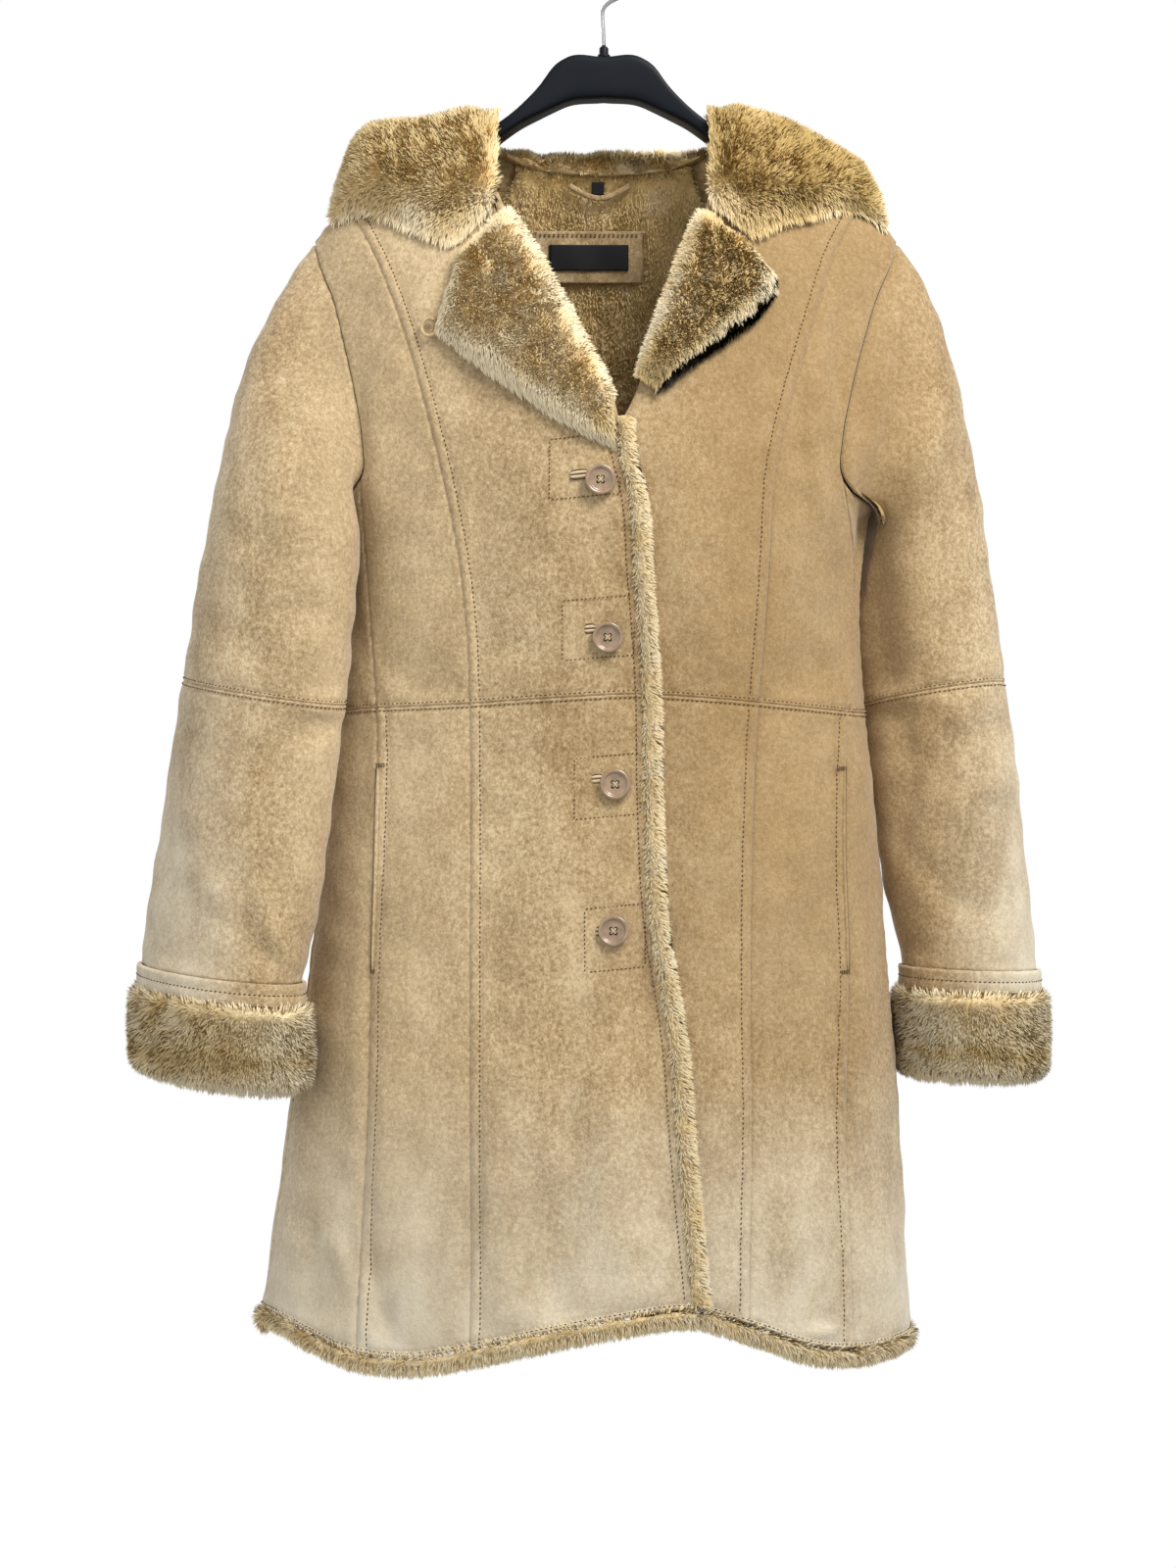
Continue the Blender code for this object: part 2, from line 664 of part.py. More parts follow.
def cap_rings(side_name, angles, shares):
    """Rings of the sleeve head, on curves from the armhole to the sleeve's first oval."""
    side = SIDES[side_name]
    start = armhole_ring(side_name, angles)
    end = sleeve_ring(side_name, SLEEVE_TOP_Z, angles)
    top = (1 + np.cos(np.radians(angles)))[:, None] / 2
    leave = unit(np.array([side * 0.85, 0.0, -0.30]) * (1 - top) + np.array([side * 0.62, 0.0, -0.78]) * top)
    up = unit(np.array([-side * 0.12, 0.0, 1.0]))
    reach = 0.012 + 0.045 * top
    lift = 0.010 + 0.085 * top
    rings = []
    for s in shares:
        ring = (
            (1 - s) ** 3 * start
            + 3 * (1 - s) ** 2 * s * (start + leave * reach)
            + 3 * (1 - s) * s * s * (end + up * lift)
            + s ** 3 * end
        )
        rings.append(clear_of_body(ring, SLEEVE_CLEARANCE * min(1.0, s / 0.14)))
    return rings


def add_tube(name, rings, material_kind="suede", thick=WALL, gap=SEAM_GAP):
    """A tube wall, thick inwards from its rings, drawn in at both ends."""
    outer = np.array(rings)
    outer[0] += unit(outer[1] - outer[0]) * gap
    outer[-1] += unit(outer[-2] - outer[-1]) * gap
    middle = outer.mean(axis=1, keepdims=True)
    normals = grid_normals(outer, ring=True)
    facing = np.sign(((outer - middle) * normals).sum())
    return add_shell(name, outer, outer - normals * facing * thick, make_material(name, material_kind), ring=True)


def add_sleeve(side_name):
    angles = sleeve_angles()
    upper = cap_rings(side_name, angles, (0.0, 0.14, 0.35, 0.65, 1.0))
    upper += [sleeve_ring(side_name, z, angles) for z in (-0.480, ELBOW_Z)]
    add_tube(f"sleeve_upper_{side_name}", upper, gap=0.0012)
    heights = np.linspace(ELBOW_Z, SLEEVE_END_Z, 5)
    tilts = np.linspace(SLEEVE_TILT[side_name], CUFF_TILT[side_name], 5)
    lower = [sleeve_ring(side_name, z, angles, tilt=t) for z, t in zip(heights, tilts)]
    add_tube(f"sleeve_lower_{side_name}", lower)


def add_cuff(side_name):
    """The turned-up band, and the fur cuff below it with the sleeve's mouth through it."""
    angles = sleeve_angles()
    tilt = CUFF_TILT[side_name]
    band_low = SLEEVE_END_Z - BAND_HEIGHT
    band = [sleeve_ring(side_name, z, angles, BAND_PROUD, tilt) for z in (SLEEVE_END_Z + 0.001, band_low)]
    add_tube(f"cuff_band_{side_name}", band, thick=WALL)
    # The sleeve's own end stops above the fur, so the fur's ring is whole.
    height = CUFF_HEIGHT[side_name]
    profile = (      # share of the height from the top, share of the thickness outwards
        (0.00, 0.55), (0.08, 0.93), (0.50, 1.00), (0.92, 0.93), (1.00, 0.55),
    )
    outer = []
    inner = []
    for down, share in profile:
        z = band_low - SEAM_GAP * 2 - height * down
        outer.append(sleeve_ring(side_name, z, angles, CUFF_PROUD - CUFF_THICK * (1 - share), tilt))
        inner_out = CUFF_PROUD - CUFF_THICK * (0.45 + 0.55 * ease(min(down, 1 - down), 0.0, 0.2))
        inner.append(sleeve_ring(side_name, z, angles, inner_out, tilt))
    name = f"cuff_fur_{side_name}"
    add_shell(name, np.array(outer), np.array(inner), make_material(name, "fur"), ring=True)


# ---------------------------------------------------------------- hood, lapels and fur edges


def add_wing(side_name):
    """The hood's front corner, folded out over the shoulder with its fur up."""
    side = SIDES[side_name]
    rows = WINGS[side_name]
    near, far = rows[0][0], rows[-1][0]
    shares = np.array([0.0, 0.05, 0.16, 0.32, 0.50, 0.68, 0.84, 0.96, 1.0])
    fullness = np.array([0.35, 0.76, 1, 1, 1, 1, 1, 0.76, 0.35])
    across = np.linspace(-1.0, 1.0, 9)
    outer = []
    inner = []
    for share, full in zip(shares, fullness):
        x = near + (far - near) * share
        top, front_low, back_low = (float(read(rows, k, x)) for k in (1, 2, 3))
        ridge = float(ridge_z(x))
        low = np.where(across < 0, front_low, back_low)
        z = ridge - across ** 2 * (ridge - low)
        middle, half, front, back = body_oval(z)
        depth = np.where(across < 0, -front, back)
        bulge = np.sqrt(np.clip(1 - ((side * x - middle) / half) ** 2, 0, 1))
        base = np.stack([np.full(z.shape, side * x), depth * bulge, z], -1)
        lean = np.radians(WING_LEAN) * across
        away = np.stack([np.zeros(z.shape), np.sin(lean), np.cos(lean)], -1)
        edge = 0.55 + 0.45 * ease(1 - np.abs(across), 0.0, 0.25)
        rise = (top - ridge) * full
        thick = rise + (WING_EDGE_THICK - rise) * np.abs(across) ** 1.5
        thick = np.maximum(thick * edge * (1 if full == 1 else 0.5 + full / 2), 0.005)
        inner.append(base + away * LAY_GAP * 1.5)
        outer.append(base + away * thick[:, None])
    name = f"hood_wing_{side_name}"
    add_shell(name, np.array(outer), np.array(inner), make_material(name, "fur"))


def pouch_point(turn, down, out=0.0):
    """A point on the pouch's outside: turn round the body, down from 0 at its rim to 1 at its fold."""
    turn = np.asarray(turn, float)
    middle = ease(180.0 - np.abs(180.0 - np.abs(turn)), POUCH_TURNS[0], POUCH_TURNS[1])
    rim_z = POUCH_RIM_Z[0] + (POUCH_RIM_Z[1] - POUCH_RIM_Z[0]) * middle
    low_z = POUCH_BOTTOM_Z[0] + (POUCH_BOTTOM_Z[1] - POUCH_BOTTOM_Z[0]) * np.sqrt(np.clip(middle, 0, 1))
    angle = np.radians(turn)
    rim = np.stack([POUCH_HALF_WIDTH * np.sin(angle), -POUCH_DEPTH * np.cos(angle), rim_z], -1)
    low = on_body(turn, low_z, np.full(turn.shape, 0.006))
    bend = np.radians(90.0 * down)
    share_flat = 1 - np.cos(bend) ** 0.85
    share_down = np.sin(bend)
    point = rim * (1 - share_flat)[..., None] + low * share_flat[..., None]
    point[..., 2] = rim[..., 2] * (1 - share_down) + low[..., 2] * share_down
    return point


def pouch_grid(first, last, downs, columns, sink):
    turns = np.linspace(first, last, columns)[None, :]
    points = pouch_point(np.repeat(turns, len(downs), 0), np.asarray(downs)[:, None] * np.ones_like(turns))
    normals = grid_normals(points)
    middle = np.array([0.0, 0.03, -0.25])
    facing = np.sign(((points - middle) * normals).sum())
    return points - normals * facing * sink, normals * facing


def add_hood_back(side_name):
    side = SIDES[side_name]
    downs = (0.0, 0.18, 0.36, 0.54, 0.71, 0.87, 1.0)
    outer, normals = pouch_grid(side * POUCH_TURNS[0], side * 180.0, downs, 7, 0.0)
    normals[:, -1, 0] = 0.0
    outer = pull_in(outer)
    name = f"hood_outer_{side_name}"
    add_shell(name, outer, outer - normals * WALL, make_material(name, "suede"))


def add_hood_lining():
    """The fur inside the pouch: one layer in its wall, one lying on the coat's back."""
    downs = (0.0, 0.18, 0.36, 0.54, 0.71)
    column = (180.0 - POUCH_TURNS[0]) / 6
    outer, normals = pouch_grid(180.0 - 5 * column, 180.0 + 5 * column, downs, 11, WALL + LAY_GAP)
    inner = outer - normals * PILE
    inner[0, :, 2] += 0.006
    outer[0, :, 2] += 0.004
    add_shell("hood_lining_outer", outer, inner, make_material("hood_lining_outer", "fur"))

    turns = np.linspace(141.0, 219.0, 9)[None, :]
    middle = ease(180.0 - np.abs(turns - 180.0), POUCH_TURNS[0], 180.0)
    low = -0.215 - 0.105 * np.sqrt(middle)
    z = -0.210 + (low + 0.210) * np.linspace(0, 1, 4)[:, None]
    turns = np.repeat(turns, 4, 0)
    under = on_body(turns, z, np.full(z.shape, LAY_GAP))
    over = on_body(turns, z, np.full(z.shape, LAY_GAP + PILE))
    add_shell("hood_lining_back", over, under, make_material("hood_lining_back", "fur"))


def add_neck_roll():
    """The hood's fur standing along the back neck and rolling over it."""
    turns = np.linspace(NECK_ROLL_TURN, 360.0 - NECK_ROLL_TURN, 13)
    heights = read(BACK_NECK, 1, 180.0 - np.abs(turns - 180.0))
    edge = body(turns, heights)
    flat = body_normal(turns, heights) * (1.0, 1.0, 0.0)
    flat = unit(flat)
    highest = max(rise for _, rise in NECK_ROLL_OVER)
    grids = []
    for outline in (NECK_ROLL_OVER, NECK_ROLL_UNDER):
        sections = []
        for point, away in zip(edge, flat):
            stand = (NECK_ROLL_TOP_Z - point[2]) / highest
            section = []
            for out, rise in outline:
                z = point[2] + (rise if rise < 0 else rise * stand)
                _, half, _, back = body_oval(min(z, point[2]))
                y = back * np.sqrt(1 - (point[0] / half) ** 2)
                section.append((point[0] + away[0] * out, y + away[1] * out, z))
            sections.append(section)
        grids.append(np.array(sections))
    add_shell("hood_neck_roll", grids[0], grids[1], make_material("hood_neck_roll", "fur"))


def lining_point(x, z, depth):
    """A point behind the back panel's inner face; depth is how far into the coat it lies."""
    middle, half, _, _ = body_oval(z)
    turn = 180.0 - np.degrees(np.arcsin((x - middle) / half))
    return on_body(turn, z, -depth)


def add_back_lining():
    """The fur inside the back, as far as the neck shows it."""
    columns = np.linspace(-1.0, 1.0, 9)
    rows = []
    for share in (0.0, 0.10, 0.22, 0.36, 0.55, 0.78, 1.0):
        low = LINING_LOW_Z
        x = columns * (0.066 + (LINING_HALF_WIDTH - 0.066) * ease(share, 0.0, 0.3))
        _, half, _, _ = body_oval(-0.15)
        turn = 180.0 - np.degrees(np.arcsin(x / half))
        top = read(BACK_NECK, 1, 180.0 - np.abs(turn - 180.0)) - 0.002
        z = top + (low - top) * share
        rows.append(np.stack([x, z], -1))
    grid = np.array(rows)
    x, z = grid[..., 0], grid[..., 1]
    near = lining_point(x, z, np.full(x.shape, WALL + LINING_GAP))
    far = lining_point(x, z, np.full(x.shape, WALL + LINING_GAP + PILE))
    add_shell("back_lining", far, near, make_material("back_lining", "fur"))


def add_inside_piece(name, box, depth, thick, finish, columns=5, rows=3):
    """A flat piece sewn on the fur inside the back."""
    left, right, low, high = box
    x, z = np.meshgrid(np.linspace(left, right, columns), np.linspace(high, low, rows))
    near = lining_point(x, z, np.full(x.shape, depth))
    far = lining_point(x, z, np.full(x.shape, depth + thick))
    add_shell(name, far, near, make_material(name, finish))


def add_neck_trims():
    face = WALL + LINING_GAP + PILE
    add_inside_piece("neck_patch", PATCH, face + 0.0007, 0.0015, "suede", 7)
    add_inside_piece("neck_label", LABEL, face + 0.0026, 0.0008, "label", 5)
    add_inside_piece("size_tab", SIZE_TAB, face + 0.0004, 0.0008, "label", 2, 2)
    route = np.array(HANGING_LOOP)
    shares = np.linspace(0.0, 1.0, 9)
    x = np.interp(shares, np.linspace(0, 1, len(route)), route[:, 0])
    z = read(HANGING_LOOP, 1, x)
    depth = face + 0.0034 + 0.0012 * np.sin(np.pi * shares)
    path = lining_point(x, z, depth)
    add_sweep("hanging_loop", tube_rings(path, 0.0021, 6, 0.62), make_material("hanging_loop", "suede"))


def add_lapel(side_name):
    """A fur-faced lapel, made from the front's own points moved out."""
    rows = np.array(LAPELS[side_name])
    side = SIDES[side_name]
    columns = np.array([-0.02, 0.10, 0.35, 0.65, 0.90, 1.0])
    fullness = np.array([0.45, 0.90, 1.0, 1.0, 0.85, 0.45])
    count = 11
    steps = np.linspace(0, len(rows) - 1, count)
    line = np.stack([np.interp(steps, np.arange(len(rows)), rows[:, k]) for k in range(4)], -1)
    share = columns[None, :, None]
    grid = line[:, None, :2] * (1 - share) + line[:, None, 2:] * share
    x, z = grid[..., 0], grid[..., 1]
    x[:, 0] -= side * LAPEL_ROLL_OUT
    turn = front_turn(x, z)
    from_end = np.minimum(np.arange(count), count - 1 - np.arange(count)) / (count - 1)
    ends = 0.55 + 0.45 * ease(from_end, 0.0, 0.12)
    thick = LAPEL_THICK * fullness[None, :] * ends[:, None]
    under = on_body(turn, z, np.full(x.shape, LAPEL_GAP), side < 0)
    over = on_body(turn, z, LAPEL_GAP + thick, side < 0)
    name = f"lapel_{side_name}"
    add_shell(name, over, under, make_material(name, "fur"))


def strip_rings(centre, across, away, half_width, half_thick, around=6):
    """Rounded section rings for a fur strip, along its centre line."""
    angles = (np.arange(around) + 0.5) * 2 * np.pi / around
    rings = []
    for point, a, b in zip(centre, across, away):
        rings.append(point + np.outer(np.cos(angles) * half_width, a) + np.outer(np.sin(angles) * half_thick, b))
    return np.array(rings)


def add_edge_fur():
    """Fur standing out of the left front's edge, from the lapel to the hem."""
    z = np.linspace(-0.352, -0.955, 16)
    x = read(FRONT_EDGES, 1, z) + 0.0062
    turn = front_turn(x, z)
    centre = on_body(turn, z, np.full(z.shape, -0.0002), True)
    away = body_normal(turn, z)
    across = unit(np.cross(np.gradient(centre, axis=0), away))
    rings = strip_rings(centre, across, away, 0.0050, 0.0042)
    add_sweep("edge_fur_left", rings, make_material("edge_fur_left", "fur"))


def add_hem_fur(name, first, last, sink, lifted, count):
    """Fur below the hem; sink is how far its middle lies inside the body's surface."""
    turn = np.linspace(first, last, count)
    z = hem_z(turn) - 0.0075
    centre = on_body(turn, z, np.full(z.shape, -sink), lifted)
    away = body_normal(turn, z)
    across = unit(np.cross(np.gradient(centre, axis=0), away))
    add_sweep(name, strip_rings(centre, across, away, 0.0050, 0.0034), make_material(name, "fur"))


def add_fur_edges():
    add_edge_fur()
    edge_turn = float(front_turn(0.0610, -0.960))
    hidden_turn = float(front_turn(0.0180, -0.960))
    add_hem_fur("hem_fur_front_left", -79.6, edge_turn, 0.0030, True, 16)
    add_hem_fur("hem_fur_front_right", hidden_turn, 79.6, 0.0048, False, 12)
    add_hem_fur("hem_fur_back", 80.4, 360.0 - 80.4, 0.0030, False, 23)


# ---------------------------------------------------------------- buttons and loop


def turned_mesh(profile, around):
    """Vertices and faces of a profile of (radius, height) turned about Z, closed at both ends."""
    angles = np.arange(around) * 2 * np.pi / around
    vertices = []
    for radius, height in profile:
        vertices += [(radius * np.cos(a), radius * np.sin(a), height) for a in angles]
    count = len(profile)
    faces = [tuple(range(around))[::-1], tuple(range((count - 1) * around, count * around))]
    for r in range(count - 1):
        for c in range(around):
            d = (c + 1) % around
            faces.append((r * around + c, r * around + d, (r + 1) * around + d, (r + 1) * around + c))
    return vertices, faces


def add_button(index, x, z, tilt):
    """A four-hole button with a raised rim, lying on the left front."""
    name = f"button_{index}"
    r, t = BUTTON_RADIUS, BUTTON_THICK
    profile = (
        (0.62 * r, 0.0), (0.92 * r, 0.25 * t), (r, 0.62 * t), (0.94 * r, t), (0.78 * r, 0.94 * t), (0.70 * r, 0.66 * t),
    )
    vertices, faces = turned_mesh(profile, 18)
    piece = add_object(name, vertices, faces, make_material(name, "button"))
    turn = front_turn(np.array(x), np.array(z))
    place = on_body(turn, np.array(z), 0.0013, True)
    away = body_normal(turn, np.array(z))
    piece.rotation_mode = "XYZ"
    swing = np.arctan2(away[0], -away[1]) + np.radians(tilt) * 0.4
    piece.rotation_euler = (np.pi / 2 - np.arcsin(away[2]), 0.0, swing)
    piece.location = place
    holes = []
    for k in range(4):
        angle = np.radians(45 + 90 * k)
        bpy.ops.mesh.primitive_cylinder_add(vertices=6, radius=BUTTON_HOLE_RADIUS, depth=0.02)
        cutter = bpy.context.object
        cutter.name = f"cutter_{index}_{k}"
        cutter.parent = piece
        distance = BUTTON_HOLE_SPACING * 1.2
        cutter.location = (distance * np.cos(angle), distance * np.sin(angle), t / 2)
        cutter.hide_render = True
        cutter.display_type = "WIRE"
        holes.append(cutter)
    for cutter in holes:
        cut = piece.modifiers.new(cutter.name, "BOOLEAN")
        cut.operation = "DIFFERENCE"
        cut.object = cutter


def add_lapel_loop():
    """A small suede loop standing out of the left lapel's corner."""
    angles = np.radians(np.linspace(50, 310, 9))
    middle = np.array([-0.1215, -0.2865])
    x = middle[0] + 0.0052 * np.cos(angles)
    z = middle[1] + 0.0062 * np.sin(angles)
    path = on_body(front_turn(x, z), z, np.full(x.shape, 0.0045))
    add_sweep("lapel_loop", tube_rings(path, 0.0013, 6), make_material("lapel_loop", "suede"))


# ---------------------------------------------------------------- hanger


def add_hanger():
    """The moulded body: one arched arm through both shoulders, its collar and the wire hook."""
    distances = np.array([0.0, 0.027, 0.036, 0.0465, 0.060, 0.079, 0.098, 0.125, 0.152, 0.174, 0.186, 0.191])
    stations = np.concatenate([-distances[::-1], distances[1:]])
    angles = (np.arange(12) + 0.5) * 2 * np.pi / 12
    rings = []
    for x in stations:
        top, low, deep, square = (float(read(HANGER, k, abs(x))) for k in (1, 2, 3, 4))
        power = 2.0 / square
        y = deep * np.sign(np.cos(angles)) * np.abs(np.cos(angles)) ** power
        z = (top + low) / 2 + (top - low) / 2 * np.sign(np.sin(angles)) * np.abs(np.sin(angles)) ** power
        rings.append(np.stack([np.full(12, x), y, z], -1))
    add_sweep("hanger_arms", np.array(rings), make_material("hanger_arms", "plastic"))

    collar = ((0.0045, -0.0795), (0.0048, -0.0775), (0.0034, -0.0762), (0.0034, -0.0722), (0.0026, -0.0712))
    vertices, faces = turned_mesh(collar, 12)
    add_object("hanger_collar", vertices, faces, make_material("hanger_collar", "plastic"))

    start = -48.0
    end = 205.0
    sweep = np.radians(np.linspace(start, end, 19))
    middle_z = HOOK_WIRE - HOOK_RADIUS
    arc = np.stack([HOOK_RADIUS * np.cos(sweep), np.zeros(19), middle_z + HOOK_RADIUS * np.sin(sweep)], -1)
    stem = np.array([(0.0, 0.0, -0.0705), (-0.0006, 0.0, -0.058), (-0.0012, 0.0, -0.0475), (0.0002, 0.0, -0.0425)])
    bend = np.array([(0.0046, 0.0, -0.0384), (0.0096, 0.0, -0.0357)])
    add_sweep("hanger_hook", tube_rings(np.concatenate([stem, bend, arc]), HOOK_WIRE, 8),
              make_material("hanger_hook", "steel"))


# ---------------------------------------------------------------- assembly


def clear_scene():
    for old in list(bpy.data.objects):
        bpy.data.objects.remove(old, do_unlink=True)


def main():
    clear_scene()
    for side_name, side in SIDES.items():
        add_front_panels(side_name, side)
        add_back_panels(side_name, side)
        add_sleeve(side_name)
        add_cuff(side_name)
        add_wing(side_name)
        add_lapel(side_name)
        add_hood_back(side_name)
    add_hood_lining()
    add_neck_roll()
    add_back_lining()
    add_neck_trims()
    add_fur_edges()
    for index, (x, z, tilt) in enumerate(BUTTONS, start=1):
        add_button(index, x, z, tilt)
    add_lapel_loop()
    add_hanger()


main()
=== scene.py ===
"""Looks of the hooded shearling coat on its hanger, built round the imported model.

Metres, +Z up, the front faces -Y. "left" and "right" are the sides that a viewer in front of the coat sees.
The tables and the forms are those of the CAD model; the surfaces are the same ones, read more finely, with
their seams, creases, stitches and fur.
"""

import json

import bpy
import numpy as np
from mathutils import Euler, Matrix, Vector

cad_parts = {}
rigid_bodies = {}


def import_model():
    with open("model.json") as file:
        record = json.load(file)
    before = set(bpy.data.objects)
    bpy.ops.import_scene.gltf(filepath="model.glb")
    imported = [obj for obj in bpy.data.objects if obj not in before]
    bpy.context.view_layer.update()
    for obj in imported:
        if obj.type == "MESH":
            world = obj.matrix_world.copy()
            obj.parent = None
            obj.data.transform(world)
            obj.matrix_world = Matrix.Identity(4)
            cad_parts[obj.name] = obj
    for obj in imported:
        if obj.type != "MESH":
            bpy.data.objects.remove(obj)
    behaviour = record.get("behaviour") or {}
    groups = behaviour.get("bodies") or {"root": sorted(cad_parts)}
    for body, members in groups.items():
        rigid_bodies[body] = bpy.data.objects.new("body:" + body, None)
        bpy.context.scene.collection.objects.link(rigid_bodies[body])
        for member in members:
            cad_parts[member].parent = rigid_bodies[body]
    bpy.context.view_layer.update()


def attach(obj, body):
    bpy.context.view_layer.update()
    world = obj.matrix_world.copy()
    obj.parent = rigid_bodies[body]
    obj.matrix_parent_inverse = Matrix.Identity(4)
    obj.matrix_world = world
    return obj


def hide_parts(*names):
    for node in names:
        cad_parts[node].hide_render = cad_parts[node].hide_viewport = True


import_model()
FINE = 1.0          # share of the full number of cells along each surface
PILE_SHARE = 1.0   # share of the full number of fur strands

# ---------------------------------------------------------------- driving dimensions

WALL = 0.003              # suede with its backing
SEAM_GAP = 0.0003         # each panel stops this far short of its seam line
PILE = 0.008              # fur pile
LAY_GAP = 0.0012          # between a piece and what it lies on
OVERLAP_LIFT = 0.006      # the left front stands this far above the right one where they overlap
WAIST_Z = -0.550
HOOK_RADIUS = 0.0205      # to the middle of the wire
HOOK_WIRE = 0.0016
BUTTON_RADIUS = 0.0106
BUTTON_THICK = 0.0042

# The body's ovals: height, left and right side, front and back depth.
BODY = (
    (-1.000, -0.250, 0.222, 0.132, 0.112),
    (-0.960, -0.244, 0.219, 0.128, 0.108),
    (-0.890, -0.234, 0.216, 0.120, 0.103),
    (-0.820, -0.224, 0.212, 0.112, 0.098),
    (-0.750, -0.215, 0.207, 0.104, 0.093),
    (-0.680, -0.206, 0.201, 0.097, 0.088),
    (-0.610, -0.199, 0.195, 0.090, 0.083),
    (-0.550, -0.194, 0.189, 0.086, 0.078),
    (-0.460, -0.190, 0.186, 0.088, 0.078),
    (-0.420, -0.195, 0.191, 0.088, 0.079),
    (-0.380, -0.203, 0.200, 0.086, 0.079),
    (-0.340, -0.207, 0.205, 0.082, 0.078),
    (-0.300, -0.209, 0.208, 0.076, 0.075),
    (-0.260, -0.211, 0.212, 0.066, 0.070),
    (-0.230, -0.213, 0.215, 0.056, 0.063),
    (-0.212, -0.208, 0.211, 0.049, 0.058),
    (-0.190, -0.189, 0.189, 0.043, 0.054),
    (-0.164, -0.150, 0.150, 0.037, 0.048),
    (-0.140, -0.110, 0.110, 0.032, 0.042),
    (-0.122, -0.076, 0.076, 0.028, 0.038),
    (-0.110, -0.050, 0.050, 0.026, 0.036),
)

# Seams on the front: height, left princess, left side-front, right princess, right side-front (x).
FRONT_SEAMS = (
    (-1.000, -0.092, -0.171, 0.098, 0.173),
    (-0.940, -0.091, -0.169, 0.099, 0.172),
    (-0.860, -0.092, -0.165, 0.101, 0.169),
    (-0.740, -0.093, -0.163, 0.101, 0.172),
    (-0.640, -0.093, -0.161, 0.103, 0.170),
    (-0.550, -0.094, -0.161, 0.108, 0.174),
    (-0.500, -0.096, -0.165, 0.112, 0.179),
    (-0.440, -0.103, -0.170, 0.116, 0.180),
    (-0.390, -0.113, -0.174, 0.119, 0.175),
    (-0.350, -0.123, -0.174, 0.127, 0.175),
    (-0.310, -0.134, -0.174, 0.138, 0.175),
    (-0.270, -0.147, -0.174, 0.150, 0.175),
    (-0.230, -0.163, -0.174, 0.163, 0.175),
    (-0.186, -0.186, -0.174, 0.186, 0.175),
)

# Princess seams on the back: height, distance from the centre.
BACK_SEAMS = (
    (-1.000, 0.108),
    (-0.750, 0.096),
    (-0.550, 0.086),
    (-0.400, 0.104),
    (-0.300, 0.122),
    (-0.220, 0.143),
    (-0.174, 0.166),
)

# Front edges, neckline included: height, edge of the left front, edge of the right front (x).
FRONT_EDGES = (
    (-0.980, 0.062, 0.016),
    (-0.860, 0.051, 0.005),
    (-0.780, 0.045, -0.001),
    (-0.700, 0.033, -0.013),
    (-0.620, 0.029, -0.017),
    (-0.550, 0.028, -0.018),
    (-0.460, 0.022, -0.024),
    (-0.405, 0.018, -0.022),
    (-0.375, 0.011, -0.003),
    (-0.345, 0.008, 0.0165),
    (-0.300, -0.0155, 0.033),
    (-0.240, -0.0475, 0.055),
    (-0.195, -0.071, 0.072),
    (-0.172, -0.080, 0.080),
    (-0.150, -0.0875, 0.0875),
    (-0.130, -0.094, 0.094),
)

# The neck edge behind the shoulder ridges: turn from the front, height.
BACK_NECK = ((90, -0.130), (110, -0.1305), (130, -0.138), (145, -0.147), (160, -0.154), (180, -0.157))

# The hem: turn, height. The fronts are cut a little higher at the closure.
HEM = (
    (-180, -0.985), (-120, -0.984), (-90, -0.982), (-70, -0.979), (-56, -0.985), (-43, -0.994),
    (-30, -0.9945), (-20, -0.987), (-8, -0.9755), (4, -0.9655), (18, -0.960), (30, -0.974),
    (42, -0.990), (55, -0.9965), (70, -0.9965), (90, -0.998), (120, -0.992), (180, -0.985),
)

# The waist seam bows: turn, how far above WAIST_Z it lies. The bow fades out WAIST_BOW_REACH above and below.
WAIST_BOW = (
    (-180, 0.0), (-90, -0.0030), (-60, -0.0015), (-35, 0.0), (-10, 0.0040), (8, 0.0068), (25, 0.0040), (45, -0.0005),
    (70, -0.0040), (90, -0.0035), (180, 0.0),
)
WAIST_BOW_REACH = 0.135

SIDE_SEAM = ((-1.000, 80.0), (-0.550, 84.0), (-0.405, 90.0))   # height, turn from the front

# The armhole, as an angle round it (0 at the shoulder, 180 under the arm): angle, spread in turn.
ARMHOLE_MIDDLE_Z = -0.3095
ARMHOLE_HALF_HEIGHT = 0.0955
ARMHOLE = (
    (0, 0.0), (25, 12.0), (56, 22.8), (78, 27.5), (100, 31.5), (122, 33.5), (147, 31.0), (165, 20.0), (180, 0.0),
)
ARMHOLE_STOPS = (0, 27, 50, 72, 94, 116, 133, 147, 158, 167, 174, 180)
SIDE_FRONT_ANGLE = 147    # where the side-front seam meets the armhole

# Sleeve ovals: height, middle x (from the centre) and y, half width, half depth, turn of the oval.
SLEEVES = {
    "left": (
        (-0.430, 0.2275, -0.038, 0.0600, 0.043, 35.0),
        (-0.540, 0.2410, -0.040, 0.0650, 0.043, 32.0),
        (-0.640, 0.2550, -0.042, 0.0660, 0.042, 30.0),
        (-0.740, 0.2705, -0.046, 0.0625, 0.040, 28.0),
    ),
    "right": (
        (-0.430, 0.2240, 0.026, 0.0560, 0.042, -33.0),
        (-0.540, 0.2385, 0.021, 0.0560, 0.042, -27.0),
        (-0.640, 0.2520, 0.014, 0.0530, 0.043, -18.0),
        (-0.740, 0.2660, 0.006, 0.0480, 0.043, -8.0),
    ),
}
SLEEVE_TOP_Z = -0.430
SLEEVE_CLEARANCE = 0.0030 # from the body, where the sleeve lies against it
UNDERARM_PHASE = {"left": 32.0, "right": -32.0}    # keeps the underarm point beside the body's side seam
SLEEVE_TILT = {"left": 0.16, "right": 0.16}    # the outer side of each oval is higher
ELBOW_Z = -0.540
SLEEVE_END_Z = -0.738
CUFF_TILT = {"left": 0.10, "right": -0.03}
